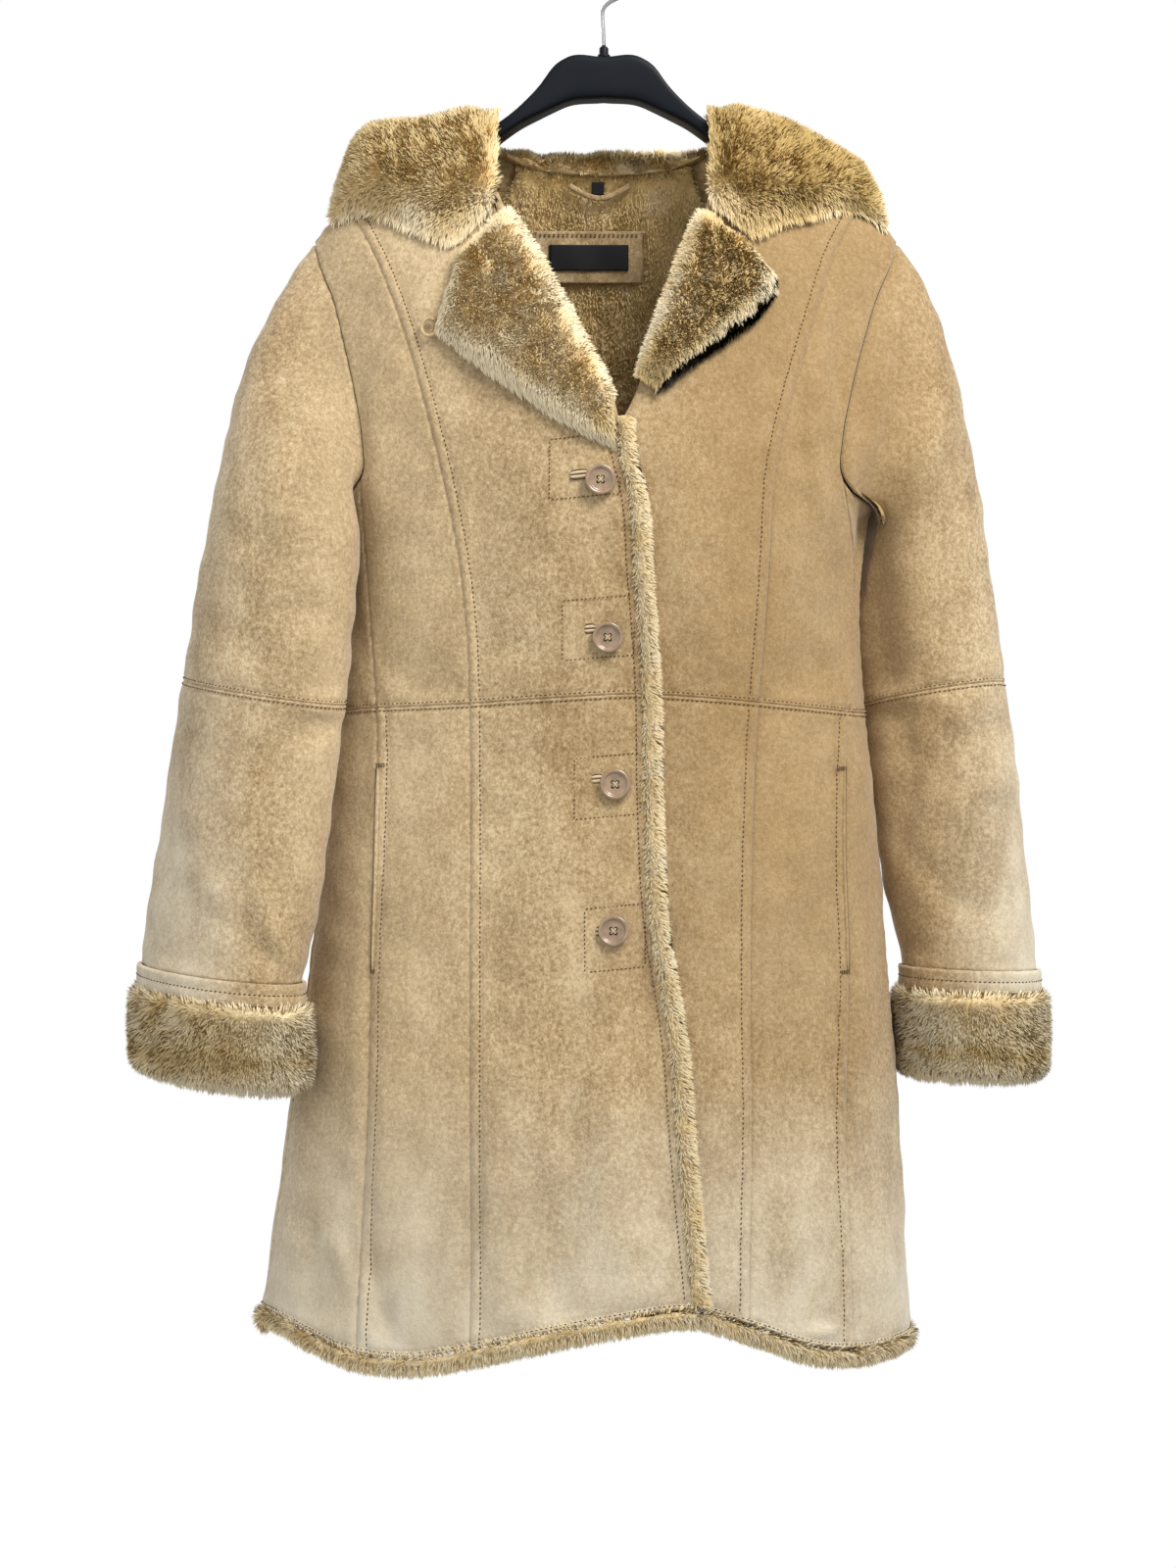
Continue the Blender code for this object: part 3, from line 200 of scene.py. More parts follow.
BAND_HEIGHT = 0.015
BAND_PROUD = 0.0036
CUFF_HEIGHT = {"left": 0.057, "right": 0.060}
CUFF_PROUD = 0.0085
CUFF_THICK = 0.015

# Hood wings: distance from the centre, top, front edge, back edge (heights).
WINGS = {
    "left": (
        (0.0775, -0.1200, -0.195, -0.180),
        (0.0900, -0.1150, -0.207, -0.190),
        (0.1040, -0.1165, -0.220, -0.198),
        (0.1270, -0.1220, -0.214, -0.204),
        (0.1520, -0.1240, -0.201, -0.206),
        (0.1690, -0.1280, -0.195, -0.206),
        (0.1830, -0.1450, -0.196, -0.204),
        (0.1950, -0.1730, -0.200, -0.202),
    ),
    "right": (
        (0.0765, -0.1180, -0.192, -0.180),
        (0.0880, -0.1130, -0.201, -0.190),
        (0.1030, -0.1155, -0.214, -0.198),
        (0.1280, -0.1230, -0.204, -0.204),
        (0.1530, -0.1350, -0.198, -0.206),
        (0.1720, -0.1460, -0.192, -0.206),
        (0.1900, -0.1580, -0.196, -0.206),
        (0.2010, -0.1760, -0.204, -0.208),
    ),
}
WING_EDGE_THICK = 0.012
WING_LEAN = 75.0          # how far the wing's layers lean from upright at its front and back edges

# Lapels: roll line x, height, outer edge x, height, from the notch down to the crossing.
LAPELS = {
    "left": (
        (-0.0695, -0.203, -0.101, -0.237),
        (-0.060, -0.218, -0.106, -0.253),
        (-0.050, -0.236, -0.112, -0.272),
        (-0.040, -0.255, -0.115, -0.288),
        (-0.030, -0.274, -0.090, -0.307),
        (-0.020, -0.293, -0.062, -0.327),
        (-0.010, -0.312, -0.036, -0.346),
        (-0.002, -0.327, -0.012, -0.361),
        (0.004, -0.338, 0.005, -0.369),
    ),
    "right": (
        (0.070, -0.204, 0.096, -0.227),
        (0.065, -0.216, 0.108, -0.237),
        (0.060, -0.229, 0.118, -0.249),
        (0.054, -0.245, 0.117, -0.262),
        (0.047, -0.264, 0.097, -0.282),
        (0.040, -0.283, 0.074, -0.299),
        (0.032, -0.303, 0.053, -0.315),
        (0.025, -0.322, 0.037, -0.330),
    ),
}
LAPEL_THICK = 0.012
LAPEL_GAP = 0.0022
LAPEL_ROLL_OUT = 0.004    # how far the lapel passes the front's edge at the roll line

# The laid-back hood's pouch: half width and depth of its rim, heights at the sides and the middle.
POUCH_HALF_WIDTH = 0.200
POUCH_DEPTH = 0.128
POUCH_TURNS = (113.0, 180.0)
POUCH_RIM_Z = (-0.168, -0.188)
POUCH_BOTTOM_Z = (-0.235, -0.365)

# Back-neck roll, in a plane across the neck edge: outward from the panel, up from its edge.
NECK_ROLL_UNDER = ((-0.0110, 0.0010), (-0.0030, 0.0010), (0.0018, 0.0010), (0.0028, -0.0100), (0.0028, -0.0300))
NECK_ROLL_OVER = ((-0.0125, 0.0040), (-0.0090, 0.0160), (0.0020, 0.0200), (0.0125, 0.0120), (0.0135, -0.0280))
NECK_ROLL_TOP_Z = -0.137  # its top is level
NECK_ROLL_TURN = 141.0    # its ends, as turn from the front

# Lining fur inside the back: half width, lowest height.
LINING_HALF_WIDTH = 0.092
LINING_LOW_Z = -0.400
LINING_GAP = 0.0018

# Hanger arm: distance from the centre, top, bottom, half depth, squareness of its section.
HANGER = (
    (0.000, -0.0800, -0.110, 0.0110, 6.0),
    (0.027, -0.0805, -0.113, 0.0110, 6.0),
    (0.036, -0.0866, -0.117, 0.0112, 6.0),
    (0.0465, -0.1008, -0.122, 0.0115, 6.0),
    (0.060, -0.1150, -0.129, 0.0120, 5.0),
    (0.079, -0.1300, -0.1430, 0.0120, 4.0),
    (0.110, -0.1520, -0.170, 0.0120, 2.6),
    (0.150, -0.1775, -0.198, 0.0125, 2.4),
    (0.180, -0.2000, -0.220, 0.0120, 2.2),
    (0.192, -0.2120, -0.226, 0.0090, 2.0),
)
HANGER_COLLAR = (          # radius, height
    (0.0043, -0.0797), (0.0048, -0.0790), (0.0048, -0.0776), (0.0036, -0.0764), (0.0034, -0.0755), (0.0034, -0.0724),
    (0.0026, -0.0712),
)
HOOK_STEM = (              # x, height
    (0.0, -0.0705), (-0.0006, -0.058), (-0.0012, -0.0475), (0.0002, -0.0425), (0.0046, -0.0384), (0.0096, -0.0357),
)

BUTTONS = ((-0.003, -0.397, 12.0), (0.002, -0.504, 0.0), (0.007, -0.606, 0.0), (0.006, -0.706, -12.0))
BUTTON_HOLE_SPACING = 0.0021
BUTTON_PROFILE = (         # in radii and thicknesses
    (0.62, 0.0), (0.86, 0.10), (0.96, 0.35), (1.0, 0.62), (0.985, 0.86), (0.93, 1.0), (0.86, 1.0), (0.79, 0.92),
    (0.745, 0.78), (0.72, 0.68), (0.66, 0.63), (0.40, 0.60), (0.05, 0.60),
)

PATCH = (-0.0517, 0.0296, -0.2288, -0.1930)        # left, right, bottom, top
LABEL = (-0.0410, 0.0190, -0.2195, -0.2030)
SIZE_TAB = (-0.0090, 0.0005, -0.1670, -0.1575)
HANGING_LOOP = ((-0.0260, -0.1600), (-0.0160, -0.1655), (-0.0030, -0.1690), (0.0100, -0.1655), (0.0200, -0.1600))

LOWER_ROWS = (0.0, 0.16, 0.35, 0.55, 0.78, 1.0)
ROWS_BELOW_ARMHOLE = 5
PRINCESS_TOP_LEVELS = (-0.186, -0.192, -0.208, -0.238, -0.278, -0.322, -0.358, -0.388)
FRONT_EDGE_TOP_LEVELS = (-0.130, -0.136, -0.155, -0.192, -0.245, -0.300, -0.345, -0.380)
BACK_PRINCESS_TOP_LEVELS = (
    -0.174, -0.180, -0.194, -0.218, -0.250, -0.284, -0.314, -0.340, -0.360, -0.377, -0.392, -0.405,
)

# Each border's kind and the distance (mm) of its topstitch.
TOPSTITCH, EDGE_STITCH, WAIST_STITCH, HEM_STITCH = 8.0, 7.5, 2.8, 3.6
SEAM, FREE, STITCHED, WAIST = ("seam", 0), ("free", 0), ("seam", TOPSTITCH), ("seam", WAIST_STITCH)
EDGE_REACH = 14.0         # mm from a border to where the folds are at their full height
VISIBLE_GAP = 0.00005     # the seams are all but closed to the eye
PANEL_STEP, FRONT_STEP, BACK_STEP = 0.0052, 0.0058, 0.0062    # cells across a panel, and down a front and a back
SIDES = {"left": -1, "right": 1}

# ---------------------------------------------------------------- numbers along tables and curves


def read(rows, column, at):
    """Smooth value of a column of a table, at values of its first column."""
    table = np.array(rows, float)
    table = table[np.argsort(table[:, 0])]
    keys = table[:, 0]
    values = table[:, column]
    slopes = np.gradient(values, keys)
    at = np.asarray(at, float)
    i = np.clip(np.searchsorted(keys, at, side="right") - 1, 0, len(keys) - 2)
    step = keys[i + 1] - keys[i]
    s = np.clip((at - keys[i]) / step, 0.0, 1.0)
    start = (1 + 2 * s) * (1 - s) ** 2 * values[i] + s * (1 - s) ** 2 * step * slopes[i]
    end = s * s * (3 - 2 * s) * values[i + 1] + s * s * (s - 1) * step * slopes[i + 1]
    return start + end


def bell(distance, width):
    """1 at no distance, falling off to 0 over a few widths."""
    return np.exp(-((distance / width) ** 2))


def ease(value, low, high):
    """0 below low, 1 above high, smooth between."""
    s = np.clip((np.asarray(value, float) - low) / (high - low), 0.0, 1.0)
    return s * s * (3 - 2 * s)


def unit(vectors):
    return vectors / np.linalg.norm(vectors, axis=-1, keepdims=True)


# ---------------------------------------------------------------- the body's form


def body_oval(z):
    """Middle, half width, front depth and back depth at a height."""
    left = read(BODY, 1, z)
    right = read(BODY, 2, z)
    return (left + right) / 2, (right - left) / 2, read(BODY, 3, z), read(BODY, 4, z)


def body(turn, z):
    middle, half, front, back = body_oval(z)
    angle = np.radians(turn)
    depth = np.where(np.cos(angle) > 0, front, back)
    x = middle + half * np.sin(angle)
    return np.stack([x, -depth * np.cos(angle), np.broadcast_to(z, x.shape)], -1)


def body_normal(turn, z):
    turn = np.asarray(turn, float)
    z = np.asarray(z, float)
    along = body(turn + 0.5, z) - body(turn - 0.5, z)
    up = body(turn, z + 0.001) - body(turn, z - 0.001)
    return unit(np.cross(along, up))


def front_turn(x, z):
    """The turn at which the front of the body has this x."""
    middle, half, _, _ = body_oval(z)
    return np.degrees(np.arcsin(np.clip((x - middle) / half, -1.0, 1.0)))


def overlap_lift(x, z):
    """How far the left front stands off the body, over the right front's edge."""
    hidden_edge = read(FRONT_EDGES, 2, z)
    return OVERLAP_LIFT * ease(x, hidden_edge - 0.070, hidden_edge - 0.004) * ease(-z, 0.290, 0.335)


def on_body(turn, z, out, lifted=False):
    """Points out from the body's surface, with the left front's lift where asked."""
    points = body(turn, z)
    rise = out + (overlap_lift(points[..., 0], points[..., 2]) if lifted else 0.0)
    return points + body_normal(turn, z) * np.asarray(rise)[..., None]


def ridge_z(x):
    """Height of the shoulder ridge at a distance from the centre."""
    heights = np.linspace(-0.214, -0.112, 60)
    _, halves, _, _ = body_oval(heights)
    return np.interp(-np.abs(x), -halves, heights)


def clear_of_body(points, gap):
    """Moves points that are inside the body, or nearer to it than gap, out to that gap."""
    middle, half, front, back = body_oval(points[..., 2])
    depth = np.where(points[..., 1] < 0, front, back)
    across = points[..., 0] - middle
    reach = np.hypot(across / half, points[..., 1] / depth)
    slope = np.stack([across / half ** 2, points[..., 1] / depth ** 2, np.zeros(reach.shape)], -1)
    steepness = np.linalg.norm(slope, axis=-1)
    push = np.maximum(gap - (reach - 1) * reach / steepness, 0.0)
    return points + slope * (push / steepness)[..., None]


def armhole(angle, side, behind):
    """Turn and height of an armhole point; side is -1 or 1."""
    z = ARMHOLE_MIDDLE_Z + ARMHOLE_HALF_HEIGHT * np.cos(np.radians(angle))
    spread = read(ARMHOLE, 1, angle)
    return side * (90.0 + np.where(behind, spread, -spread)), z


def grid_normals(points, ring=False):
    if ring:
        across = np.roll(points, -1, 1) - np.roll(points, 1, 1)
    else:
        across = np.gradient(points, axis=1)
    return unit(np.cross(across, np.gradient(points, axis=0)))


def tube_rings(path, radius, around=8, flat=1.0):
    """Rings round a path; flat below 1 makes a strap."""
    path = np.asarray(path, float)
    ahead = unit(np.gradient(path, axis=0))
    side = unit(np.cross(ahead[0], (0.0, 1.0, 0.01)))
    rings = []
    for point, direction in zip(path, ahead):
        side = unit(side - direction * np.dot(side, direction))
        other = np.cross(direction, side)
        angles = np.arange(around) * 2 * np.pi / around
        offsets = np.outer(np.cos(angles), side) * radius + np.outer(np.sin(angles), other) * radius * flat
        rings.append(point + offsets)
    return np.array(rings)


def closed_ring(grid):
    """A grid round a tube, with its first column repeated at its end."""
    return np.concatenate([grid, grid[:, :1]], 1)


def tube_normals(rings):
    """Normals of a grid round a tube, away from its middle."""
    normals = grid_normals(rings, ring=True)
    return normals * np.sign(((rings - rings.mean(axis=1, keepdims=True)) * normals).sum())


def tapered_tube(path, radii, around):
    rings = tube_rings(path, 1.0, around)
    return path[:, None] + (rings - path[:, None]) * radii[:, None, None]


def front_seam(table, column, levels):
    """Turn and height along a line on the front, whose x is a column of a table."""
    z = np.asarray(levels, float)
    return np.stack([front_turn(read(table, column, z), z), z], -1)


def back_seam(side, levels):
    z = np.asarray(levels, float)
    middle, half, _, _ = body_oval(z)
    x = side * read(BACK_SEAMS, 1, z)
    return np.stack([side * 180.0 - np.degrees(np.arcsin(np.clip((x - middle) / half, -1, 1))), z], -1)


def side_seam(side, levels):
    z = np.asarray(levels, float)
    return np.stack([side * read(SIDE_SEAM, 1, z), z], -1)


def centre_back(side, levels):
    z = np.asarray(levels, float)
    return np.stack([np.full(z.shape, side * 180.0), z], -1)


def armhole_line(side, behind, stops):
    return np.stack(armhole(stops, side, behind), -1)


def hem_z(turn):
    return read(HEM, 1, turn)


def on_hem(row):
    """A lower panel's last row, brought to the hem's height."""
    return np.stack([row[:, 0], hem_z(row[:, 0])], -1)


def side_top_z():
    """Height of the armhole's lowest point, where the side seam starts."""
    return ARMHOLE_MIDDLE_Z - ARMHOLE_HALF_HEIGHT


def rows_to_waist(z):
    """Heights of the rows below z, down to the waist."""
    return np.linspace(z, WAIST_Z, ROWS_BELOW_ARMHOLE + 1)[1:]


def bowed(turn, z):
    """Heights with the waist seam's bow."""
    return z + read(WAIST_BOW, 1, turn) * (1 - ease(np.abs(z - WAIST_Z), 0.0, WAIST_BOW_REACH))


def sleeve_ring(side_name, z, angles, out=0.0, tilt=None):
    """A ring round the sleeve at a height; out is added to its half width and depth."""
    side = SIDES[side_name]
    rows = SLEEVES[side_name]
    middle_x, middle_y, wide, deep, turned = (float(read(rows, k, z)) for k in range(1, 6))
    turned = np.radians(turned)
    outward = np.array([side * np.cos(turned), np.sin(turned), 0.0])
    forward = np.array([side * np.sin(turned), -np.cos(turned), 0.0])
    phase = np.radians(UNDERARM_PHASE[side_name]) * (1 - np.cos(np.radians(angles))) / 2
    around = np.radians(angles) + turned + phase
    across = (wide + out) * np.cos(around)
    points = np.outer(across, outward) + np.outer((deep + out) * np.sin(around), forward)
    points += (side * middle_x, middle_y, z)
    points[:, 2] += (SLEEVE_TILT[side_name] if tilt is None else tilt) * across
    return clear_of_body(points, SLEEVE_CLEARANCE)


def pouch_point(turn, down):
    """A point on the pouch's outside: turn round the body, down from 0 at its rim to 1 at its fold."""
    turn = np.asarray(turn, float)
    middle = ease(180.0 - np.abs(180.0 - np.abs(turn)), POUCH_TURNS[0], POUCH_TURNS[1])
    rim_z = POUCH_RIM_Z[0] + (POUCH_RIM_Z[1] - POUCH_RIM_Z[0]) * middle
    low_z = POUCH_BOTTOM_Z[0] + (POUCH_BOTTOM_Z[1] - POUCH_BOTTOM_Z[0]) * np.sqrt(middle)
    angle = np.radians(turn)
    rim = np.stack([POUCH_HALF_WIDTH * np.sin(angle), -POUCH_DEPTH * np.cos(angle), rim_z], -1)
    low = on_body(turn, low_z, np.full(turn.shape, 0.006))
    bend = np.radians(90.0 * down)
    share_flat, share_down = 1 - np.cos(bend) ** 0.85, np.sin(bend)
    point = rim * (1 - share_flat)[..., None] + low * share_flat[..., None]
    point[..., 2] = rim[..., 2] * (1 - share_down) + low[..., 2] * share_down
    return point


def lining_point(x, z, depth):
    """A point behind the back panel's inner face; depth is how far into the coat it lies."""
    middle, half, _, _ = body_oval(z)
    turn = 180.0 - np.degrees(np.arcsin((x - middle) / half))
    return on_body(turn, z, -depth)


# ---------------------------------------------------------------- fields


def waves(points, wavelength, seed, count=7):
    """Smooth unevenness, about -1 to 1, from a few waves across the points."""
    rng = np.random.default_rng(seed)
    total = np.zeros(points.shape[:-1])
    for _ in range(count):
        way = unit(rng.normal(size=3)) * 2 * np.pi / (wavelength * rng.uniform(0.7, 1.5))
        total = total + np.sin(points @ way + rng.uniform(0, 6.28))
    return total / np.sqrt(count) * 0.9


def swirl(points, wavelength, seed):
    return np.stack([waves(points, wavelength, seed + k, 5) for k in range(3)], -1)


CREASE_UNIT = 0.0016      # metres, for a rise of 1 in the table

# Creases of the suede: from x, z to x, z and half width (mm), rise (below 0 for a trough), the side they are on.
CREASES = (
    (-250, -660, -227, -733, 9, -3.2, "front"), (-245, -650, -217, -728, 10, 2.4, "front"),
    (-288, -600, -250, -700, 16, 2.0, "front"), (-190, -480, -260, -520, 12, -2.0, "front"),
    (-188, -500, -230, -545, 9, 1.8, "front"), (-186, -560, -245, -610, 11, -2.4, "front"),
    (-200, -330, -225, -430, 14, 2.0, "front"), (-198, -395, -245, -440, 10, -2.0, "front"),
    (4, -553, -7, -590, 4, 1.6, "front"), (18, -556, 0, -588, 4, 1.3, "front"), (7, -665, 5, -686, 4, 1.3, "front"),
    (21, -670, 11, -697, 4, 1.2, "front"), (-5, -432, 11, -472, 6, -1.5, "front"),
    (-11, -745, -18, -870, 15, -3.4, "front"), (-18, -870, -29, -985, 16, -3.6, "front"),
    (-43, -750, -56, -980, 17, 3.2, "front"), (20, -780, 26, -965, 12, 2.2, "front"),
    (-128, -640, -133, -960, 20, 2.6, "front"), (-148, -985, -175, -925, 7, -2.0, "front"),
    (-170, -990, -190, -915, 8, 1.9, "front"), (-205, -985, -215, -900, 9, -2.2, "front"),
    (138, -982, 160, -980, 5, 1.8, "front"), (140, -972, 164, -971, 4, -1.6, "front"),
    (-137, -712, -152, -724, 6, -1.8, "front"), (154, -758, 174, -776, 8, -1.9, "front"),
    (136, -620, 138, -950, 18, 2.4, "front"), (60, -600, 64, -930, 22, -2.4, "front"),
    (172, -262, 177, -350, 8, -2.6, "front"), (136, -337, 142, -391, 8, -2.2, "front"),
    (150, -300, 162, -430, 12, 2.2, "front"), (-145, -300, -160, -420, 13, 2.0, "front"),
    (-75, -400, -90, -520, 14, -1.7, "front"), (70, -330, 78, -520, 16, 1.8, "front"),
    (-170, -500, -100, -545, 12, -1.5, "front"), (175, -520, 120, -548, 12, -1.5, "front"),
    (222, -300, 222, -600, 12, -4.2, "front"), (222, -600, 215, -660, 10, -3.0, "front"),
    (245, -320, 248, -560, 16, 2.8, "front"), (290, -560, 230, -600, 11, -2.2, "front"),
    (296, -600, 235, -640, 12, 1.8, "front"), (225, -660, 270, -700, 9, -2.0, "front"),
    (-90, -600, -100, -960, 20, 3.0, "back"), (20, -620, 26, -970, 22, -3.2, "back"),
    (110, -600, 120, -960, 20, 3.0, "back"), (-150, -320, -170, -420, 13, -2.2, "back"),
    (150, -320, 170, -430, 13, -2.4, "back"), (-150, -500, -70, -545, 12, -1.6, "back"),
    (150, -505, 60, -548, 12, -1.6, "back"), (-220, -480, -265, -540, 11, -2.4, "back"),
    (220, -480, 265, -545, 11, -2.4, "back"), (-255, -590, -230, -690, 12, 2.4, "back"),
    (260, -590, 235, -700, 12, 2.4, "back"),
)


def creases(points):
    """Rise from the creases table, in metres, at points of the suede."""
    rise = np.zeros(points.shape[:-1])
    x, y, z = np.moveaxis(points, -1, 0)
    for *ends, wide, high, where in CREASES:
        x0, z0, x1, z1 = np.array(ends) / 1000
        run = np.array([x1 - x0, z1 - z0])
        length = np.hypot(*run)
        along = ((x - x0) * run[0] + (z - z0) * run[1]) / length ** 2
        bow = 0.10 * length * np.sin(np.pi * np.clip(along, 0, 1))
        off = ((x - x0) * run[1] - (z - z0) * run[0]) / length - bow
        fade = ease(along, -0.18, 0.25) * (1 - ease(along, 0.75, 1.18))
        behind = ease(y if where == "back" else -y, -0.02, 0.02)
        rise += high * CREASE_UNIT * bell(off * 1000, wide) * fade * behind
    return rise


def softness(points):
    """The suede's folds and unevenness away from its seams."""
    return creases(points) + 0.0012 * waves(points, 0.085, 3) + 0.0006 * waves(points, 0.030, 8)


def relief(points, distances, edges, along):
    """How far the suede stands off its form, from the distances (mm) to its borders, each border's kind (seam or
    free) and topstitch distance (mm, 0 for none), and the distances (mm) along them."""
    rise = softness(points) * ease(np.min(distances, axis=0), 0.0, EDGE_REACH)
    for k, (distance, (kind, stitch), run) in enumerate(zip(distances, edges, along)):
        if kind == "seam":
            rise = rise - (0.0007 if stitch == WAIST_STITCH else 0.0011) * bell(distance, 1.3)
            pucker = np.sin(run * 2 * np.pi / 13 + 2.2 * waves(points, 0.05, 20 + k))
            rise = rise + 0.00042 * pucker * bell(distance, 8.5) * ease(distance, 0.0, 2.0)
        else:
            rise = rise - 0.0010 * bell(distance, 1.1)
            rise = rise + 0.0005 * np.sin(run * 2 * np.pi / 17 + 1.5) * bell(distance, 9.0)
        if stitch:
            rise = rise + 0.0007 * bell(distance - stitch * 0.52, stitch * 0.30)
            rise = rise - 0.0007 * bell(distance - stitch, 1.1)
    return rise


# ---------------------------------------------------------------- meshes


def grid_faces(rows, columns, ring=False):
    r = np.arange(rows - 1)[:, None]
    c = np.arange(columns if ring else columns - 1)[None, :]
    d = (c + 1) % columns
    return np.stack([r * columns + c, r * columns + d, (r + 1) * columns + d, (r + 1) * columns + c], -1).reshape(-1, 4)


def shell_mesh(outer, inner, ring=False):
    """Vertices, faces and their kinds (0 outer, 1 inner, 2 rim) of a wall between two grids, facing outwards."""
    rows, columns = outer.shape[:2]
    count = rows * columns
    vertices = np.concatenate([outer.reshape(-1, 3), inner.reshape(-1, 3)])
    front = grid_faces(rows, columns, ring)
    if ring:
        top = np.arange(columns)
        borders = [(np.roll(top, -1), top), (top + count - columns, np.roll(top, -1) + count - columns)]
    else:
        top, side = np.arange(columns), np.arange(rows) * columns
        borders = [
            (top[1:], top[:-1]), (top[:-1] + count - columns, top[1:] + count - columns),
            (side[:-1], side[1:]), (side[1:] + columns - 1, side[:-1] + columns - 1),
        ]
    rims = np.concatenate([np.stack([a, b, b + count, a + count], -1) for a, b in borders])
    faces = np.concatenate([front, front[:, ::-1] + count, rims])
    kinds = np.concatenate([np.zeros(len(front), int), np.ones(len(front), int), np.full(len(rims), 2)])
    a, b, c, d = (vertices[faces[:, k]] for k in range(4))
    volume = (a * np.cross(b, c)).sum() + (a * np.cross(c, d)).sum()
    return vertices, faces if volume > 0 else faces[:, ::-1], kinds


def add_mesh(name, vertices, faces, materials, kinds=None, tones=None, normals=None, replaces=()):
    """An object riding the one body. tones are tone and height along a strand, kept as the bake's own map."""
    mesh = bpy.data.meshes.new(name)
    mesh.from_pydata(np.asarray(vertices, float), [], faces if isinstance(faces, list) else np.asarray(faces))
    for material in materials:
        mesh.materials.append(material)
    if kinds is not None:
        mesh.polygons.foreach_set("material_index", np.minimum(kinds, len(materials) - 1).astype(np.int32))
    mesh.polygons.foreach_set("use_smooth", np.ones(len(mesh.polygons), bool))
    if tones is not None:
        corners = np.empty(len(mesh.loops), np.int32)
        mesh.loops.foreach_get("vertex_index", corners)
        layer = mesh.uv_layers.new(name="OFBake")
        layer.data.foreach_set("uv", np.clip(tones, 0.004, 0.996)[corners].astype(np.float32).ravel())
    mesh.update()
    if normals is not None:
        mesh.normals_split_custom_set_from_vertices(normals.astype(np.float32))
    piece = bpy.data.objects.new(name, mesh)
    bpy.context.scene.collection.objects.link(piece)
    if replaces:
        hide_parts(*replaces)
    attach(piece, "root")
    return piece


def lengths(points, axis):
    """Distance along a grid's rows or columns, from the first."""
    steps = np.linalg.norm(np.diff(points, axis=axis), axis=-1)
    return np.concatenate([np.zeros_like(np.take(steps, [0], axis)), np.cumsum(steps, axis)], axis)


def declare(grid):
    """Works out the width and length of a sheet's grid; nothing is done with them."""
    width, length = (round(float(lengths(grid, axis).max()), 4) for axis in (1, 0))


EDGE_STEPS = np.array([0.0, 0.6, 1.3, 2.2, 3.4, 4.8, 6.2, 7.6, 9.0, 11.0, 14.0]) / 1000


def places(length, step):
    """Places from 0 to 1 along a length, close together near both ends."""
    near = EDGE_STEPS if FINE == 1.0 else EDGE_STEPS[::2]
    near = near[near < length * 0.42] / length
    count = max(int((1 - 2 * near[-1]) * length / (step / FINE)), 1)
    return np.concatenate([near, near[-1] + (1 - 2 * near[-1]) * np.arange(1, count) / count, 1 - near[::-1]])


def read_line(at, run, rows):
    """Rows of numbers at distances along them, straight between them."""
    return np.stack([np.interp(at, run, column) for column in np.transpose(rows)], -1)


def at_places(values, place):
    """Values of a list at fractional places."""
    return read(np.stack([np.arange(len(values)), values], -1), 1, place)


def borders(form):
    """Distances (mm) to a grid's start, end, top and low borders, and those along them."""
    across, down = lengths(form, 1) * 1000, lengths(form, 0) * 1000
    return (across, across[:, -1:] - across, down, down[-1:] - down), (down, down, across, across)


def suede_piece(name, outer, inner, ring=False):
    """The suede wall between two grids, in place of the CAD node of its name."""
    vertices, faces, kinds = shell_mesh(outer, inner, ring)
    piece = add_mesh(name + "_cloth", vertices, faces, [SUEDE, LINING, CUT_EDGE], kinds, replaces=[name])
    declare(closed_ring(outer) if ring else outer)


# ---------------------------------------------------------------- stitches

stitches = []


def sew(line, normals, pitch=0.0034, length=0.0025, thick=0.00052):
    """Dark stitches along a line of points."""
    run = lengths(line[:, None], 0)[:, 0]
    count = int(run[-1] / pitch)
    if count < 1:
        return
    middle = (np.arange(count) + 0.5) * pitch
    away = unit(read_line(middle, run, normals))
    ahead = unit(read_line(middle + 0.0005, run, line) - read_line(middle - 0.0005, run, line) + 1e-9)
    side = unit(np.cross(ahead, away)) * thick
    here = read_line(middle, run, line) + away * 0.0003
    end = ahead * length / 2
    sag = away * 0.0003
    stitches.append(np.stack([
        here - end - sag, here + side, here + away * thick, here - side, here - away * thick, here + end - sag,
    ], 1))


def add_stitches(name, material):
    corners = np.concatenate(stitches)
    base = np.arange(len(corners))[:, None, None] * 6
    one = np.array([(0, 1, 2), (0, 2, 3), (0, 3, 4), (0, 4, 1), (5, 2, 1), (5, 3, 2), (5, 4, 3), (5, 1, 4)])
    faces = (base + one[None, :, ::-1]).reshape(-1, 3)
    stitches.clear()
    return add_mesh(name, corners.reshape(-1, 3), faces, [material])


def column_line(grid, distance, from_end=False, first=0.0, last=0.0):
    """The line at a distance from a grid's first (or last) column, and its normals, shortened at both ends."""
    source = grid[:, ::-1] if from_end else grid
    run = lengths(source, 1)
    normals = grid_normals(grid)[:, ::-1] if from_end else grid_normals(grid)
    line, away = [], []
    for points, normal, walk in zip(source, normals, run):
        if walk[-1] < distance * 1.3:
            continue
        line.append(read_line(distance, walk, points))
        away.append(read_line(distance, walk, normal))
    line, away = np.array(line), np.array(away)
    if len(line) < 3:
        return None
    walk = lengths(line[:, None], 0)[:, 0]
    keep = (walk >= first) & (walk <= walk[-1] - last)
    return line[keep], unit(away[keep])


